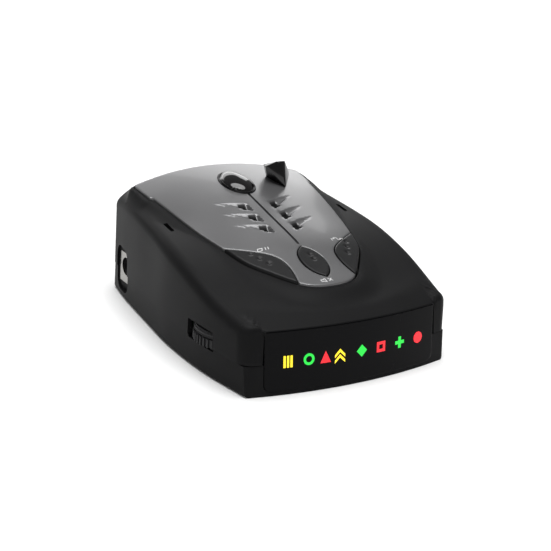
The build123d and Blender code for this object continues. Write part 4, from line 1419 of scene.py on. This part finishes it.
@dataclass
class VolumeWheel:
    """The knurled wheel at the left side.

    Attributes:
        radius: outer radius.
        ribs: number of ribs.
    """

    radius: float = 11.0
    ribs: int = 44

    def ring(self, x: float, y: float, z: float, count: int) -> list[tuple[float, float, float]]:
        """Evenly spaced places just inside the rim.

        Args:
            x: axis place across.
            y: axis place along.
            z: height.
            count: how many places.

        Returns:
            The places.
        """
        reach = self.radius - 0.62
        return [(x + reach * math.cos(a), y + reach * math.sin(a), z)
                for a in np.linspace(0, 2 * math.pi, count, endpoint=False)]

    def build(self, pattern: Pattern) -> None:
        """Makes the wheel's body and its two bands of ribs."""
        low, high = (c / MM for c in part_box("volume_wheel"))
        x, y = low.x + self.radius, (low.y + high.y) / 2
        z = low.z
        r = self.radius
        rim = ((0.9, 0.0), (0.6, 0.3), (0.6, 2.7), (1.0, 2.9), (1.0, 3.3), (0.55, 3.5), (0.3, 4.3),
               (0.7, 5.15), (3, 5.15), (3, 3.6))
        outer = [(r - a, z + b) for a, b in rim]
        hub = [(1.62, z), *outer, (3.2, z + 3.6), (3.2, z + 5.15), (1.62, z + 5.15)]
        body = lathe("wheel_hub", hub, (x, y), 128)
        tooth = block("tooth", (-0.35, -0.3, 0.15), (0.55, 0.3, 2.75), 0.22)
        lower = pattern.lay("wheel_ribs", tooth, self.ring(x, y, z, self.ribs), WHEEL, (x, y, z))
        line = block("line", (-0.1, -0.07, 3.55), (0.3, 0.07, 4.9), 0.05)
        upper = pattern.lay("wheel_lines", line, self.ring(x, y, z, self.ribs * 3), WHEEL, (x, y, z))
        dress(joined("wheel_rim", [body, lower, upper]), WHEEL, "volume_wheel", "volume_wheel", slot="wheel")


class Display:
    """The gloss window across the front."""

    def build(self) -> None:
        """Makes the window to fill its opening."""
        low, high = (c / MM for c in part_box("display_window"))
        a, b = low.z, high.z + 0.05
        soft = 2.1
        ring = [turn(np.array([-31 + soft, a]), np.array([-31, a]), np.array([-31, a + soft])),
                turn(np.array([-31, b - 0.4]), np.array([-31, b]), np.array([-30.6, b]), 4),
                turn(np.array([30.6, b]), np.array([31, b]), np.array([31, b - 0.4]), 4),
                turn(np.array([31, a + soft]), np.array([31, a]), np.array([31 - soft, a]))]
        loop = resampled(np.vstack(ring)[::-1], 0.7)
        face = lambda x, z: np.stack([x, FORM.front(x, z) + 0.03, z], 1)
        back = lambda x, z: np.stack([x, FORM.front(x, z) + 1.75, z], 1)
        window = Sheet(loop, face, back, 0.6, rim=0.2).build("display_pane")
        dress(window, GLOSS, "case", "display_window", slot="gloss_black")


class Insides:
    """The carried-over CAD pieces, which only get their finishes, and the header's pins."""

    finishes = {
        "lower_case": CASE, "rating_plate": PAPER, "legend_mask": MASK, "light_guide": DIFFUSER,
        "display_leds": LAMP, "display_board": BOARD, "main_board": BOARD, "header": CHIP, "processor": CHIP,
        "capacitors": CAN, "regulator": CHIP, "horn_antenna": CASTING, "receiver_board": BOARD,
        "receiver_shield": TIN, "horn_cover": MASK, "laser_window": LENS, "laser_sensor": CHIP,
        "laser_bracket": TIN, "key_board": BOARD, "dim_switch": SWITCH, "mute_switch": SWITCH,
        "city_switch": SWITCH, "dim_actuator": STEM, "mute_actuator": STEM, "city_actuator": STEM,
        "dome_led": LAMP, "fin_led": LAMP, "wheel_shaft": STEEL, "volume_pot": TIN, "jack_housing": CHIP,
        "jack_plate": NICKEL, "jack_pin": BRASS, "speaker_gasket": FOAM, "speaker_basket": STEEL,
        "speaker_cone": CONE, "speaker_magnet": MAGNET, "case_screws": STEEL, "key_board_screws": STEEL,
    }

    def build(self, pattern: Pattern) -> None:
        """Dresses the nodes and adds the pins."""
        for name, finish in self.finishes.items():
            self.paint(name, finish.material())
        self.paint("legend_inlays", SignGlow().material())
        low, high = (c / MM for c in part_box("header"))
        pin = block("pin", (-0.32, -0.32, 0), (0.32, 0.32, 3.4), 0.1)
        rows = [(x, y, high.z - 0.2) for x in np.linspace(low.x + 1.3, high.x - 1.3, 8)
                for y in (low.y + 0.7, high.y - 0.7)]
        pins = pattern.lay("header_pins", pin, rows, BRASS)
        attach(pins, "case")

    def paint(self, name: str, material: bpy.types.Material) -> None:
        """Gives one CAD node a material.

        Args:
            name: the CAD node.
            material: its new material.
        """
        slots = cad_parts[name].data.materials
        slots.clear()
        slots.append(material)
        log.info("%s: painted %s", name, material.name)


class Studio:
    """Floor, lights and camera."""

    def floor(self) -> None:
        """A broad pale floor that curves up behind the object."""
        rows = [(-6.0, 0.0), (1.2, 0.0), (1.5, 0.03), (1.62, 0.12), (1.7, 0.3), (1.72, 0.75)]
        verts = [(x / MM, y / MM, z / MM - 0.02) for y, z in rows for x in (-6.0, 6.0)]
        faces = [(2 * k, 2 * k + 1, 2 * k + 3, 2 * k + 2) for k in range(len(rows) - 1)]
        sweep = as_object("studio_sweep", verts, faces, 60)
        made = Finish("pale_sweep", (0.86, 0.86, 0.86), 0.9, size=8, depth=0.02, shade=0.01)
        sweep.data.materials.append(made.material())
        sweep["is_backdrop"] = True

    def lamp(self, name: str, place: Sequence[float], size: Point, power: float) -> None:
        """A rectangular soft light aimed at the object.

        Args:
            name: its name.
            place: where it stands, in metres.
            size: its width and height.
            power: watts.
        """
        data = bpy.data.lights.new(name, "AREA")
        data.shape = "RECTANGLE"
        data.size, data.size_y = size
        data.energy = power
        made = bpy.data.objects.new(name, data)
        made.location = place
        made.rotation_euler = (Vector((0, 0, 0.02)) - made.location).to_track_quat("-Z", "Y").to_euler()
        bpy.context.collection.objects.link(made)

    def camera(self) -> None:
        """The camera at the viewing angle of the object's portrait."""
        a, e, ro = math.radians(-33.096), math.radians(20.196), math.radians(4.438)
        way = Vector((-math.sin(a) * math.cos(e), math.cos(a) * math.cos(e), -math.sin(e)))
        right = way.cross(Vector((0, 0, 1))).normalized()
        up = right.cross(way)
        r2 = right * math.cos(ro) + up * math.sin(ro)
        u2 = up * math.cos(ro) - right * math.sin(ro)
        data = bpy.data.cameras.new("portrait")
        data.lens, data.sensor_width = 79.17, 36.0
        data.clip_start = 0.01
        data.dof.use_dof = False
        made = bpy.data.objects.new("portrait", data)
        turned = Matrix((r2, u2, -way)).transposed().to_4x4()
        made.matrix_world = Matrix.Translation((-0.204861, -0.318229, 0.155501)) @ turned
        bpy.context.collection.objects.link(made)
        bpy.context.scene.camera = made

    def build(self) -> None:
        """Sets the studio up."""
        world = bpy.data.worlds.new("studio")
        bpy.context.scene.world = world
        world.use_nodes = True
        world.node_tree.nodes["Background"].inputs["Color"].default_value = (1, 1, 1, 1)
        world.node_tree.nodes["Background"].inputs["Strength"].default_value = 0.22
        self.floor()
        self.lamp("back_right", (0.25, 0.85, 0.42), (1.0, 0.4), 3.4)
        self.lamp("top", (0.0, -0.1, 0.8), (0.3, 0.3), 0.6)
        self.lamp("front_left", (-0.7, -0.35, 0.35), (0.12, 0.5), 0.3)
        sky = bpy.data.lights.new("sky", "SUN")
        sky.energy = 3.2
        sky.angle = math.radians(50)
        bpy.context.collection.objects.link(bpy.data.objects.new("sky", sky))
        bpy.context.scene.view_settings.view_transform = "Standard"
        self.camera()


def corners() -> list[list[float]]:
    """The shown object's box as plain lists."""
    return [list(c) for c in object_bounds()]


def main() -> None:
    """Builds everything in order."""
    logging.basicConfig(level=logging.INFO, format="%(message)s")
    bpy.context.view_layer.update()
    pattern = Pattern("row_on_points")
    CaseShell().build()
    TopPanel().build()
    KEYS.build()
    LENSES.build()
    Display().build()
    VolumeWheel().build(pattern)
    Insides().build(pattern)
    Studio().build()


if __name__ == "__main__":
    main()
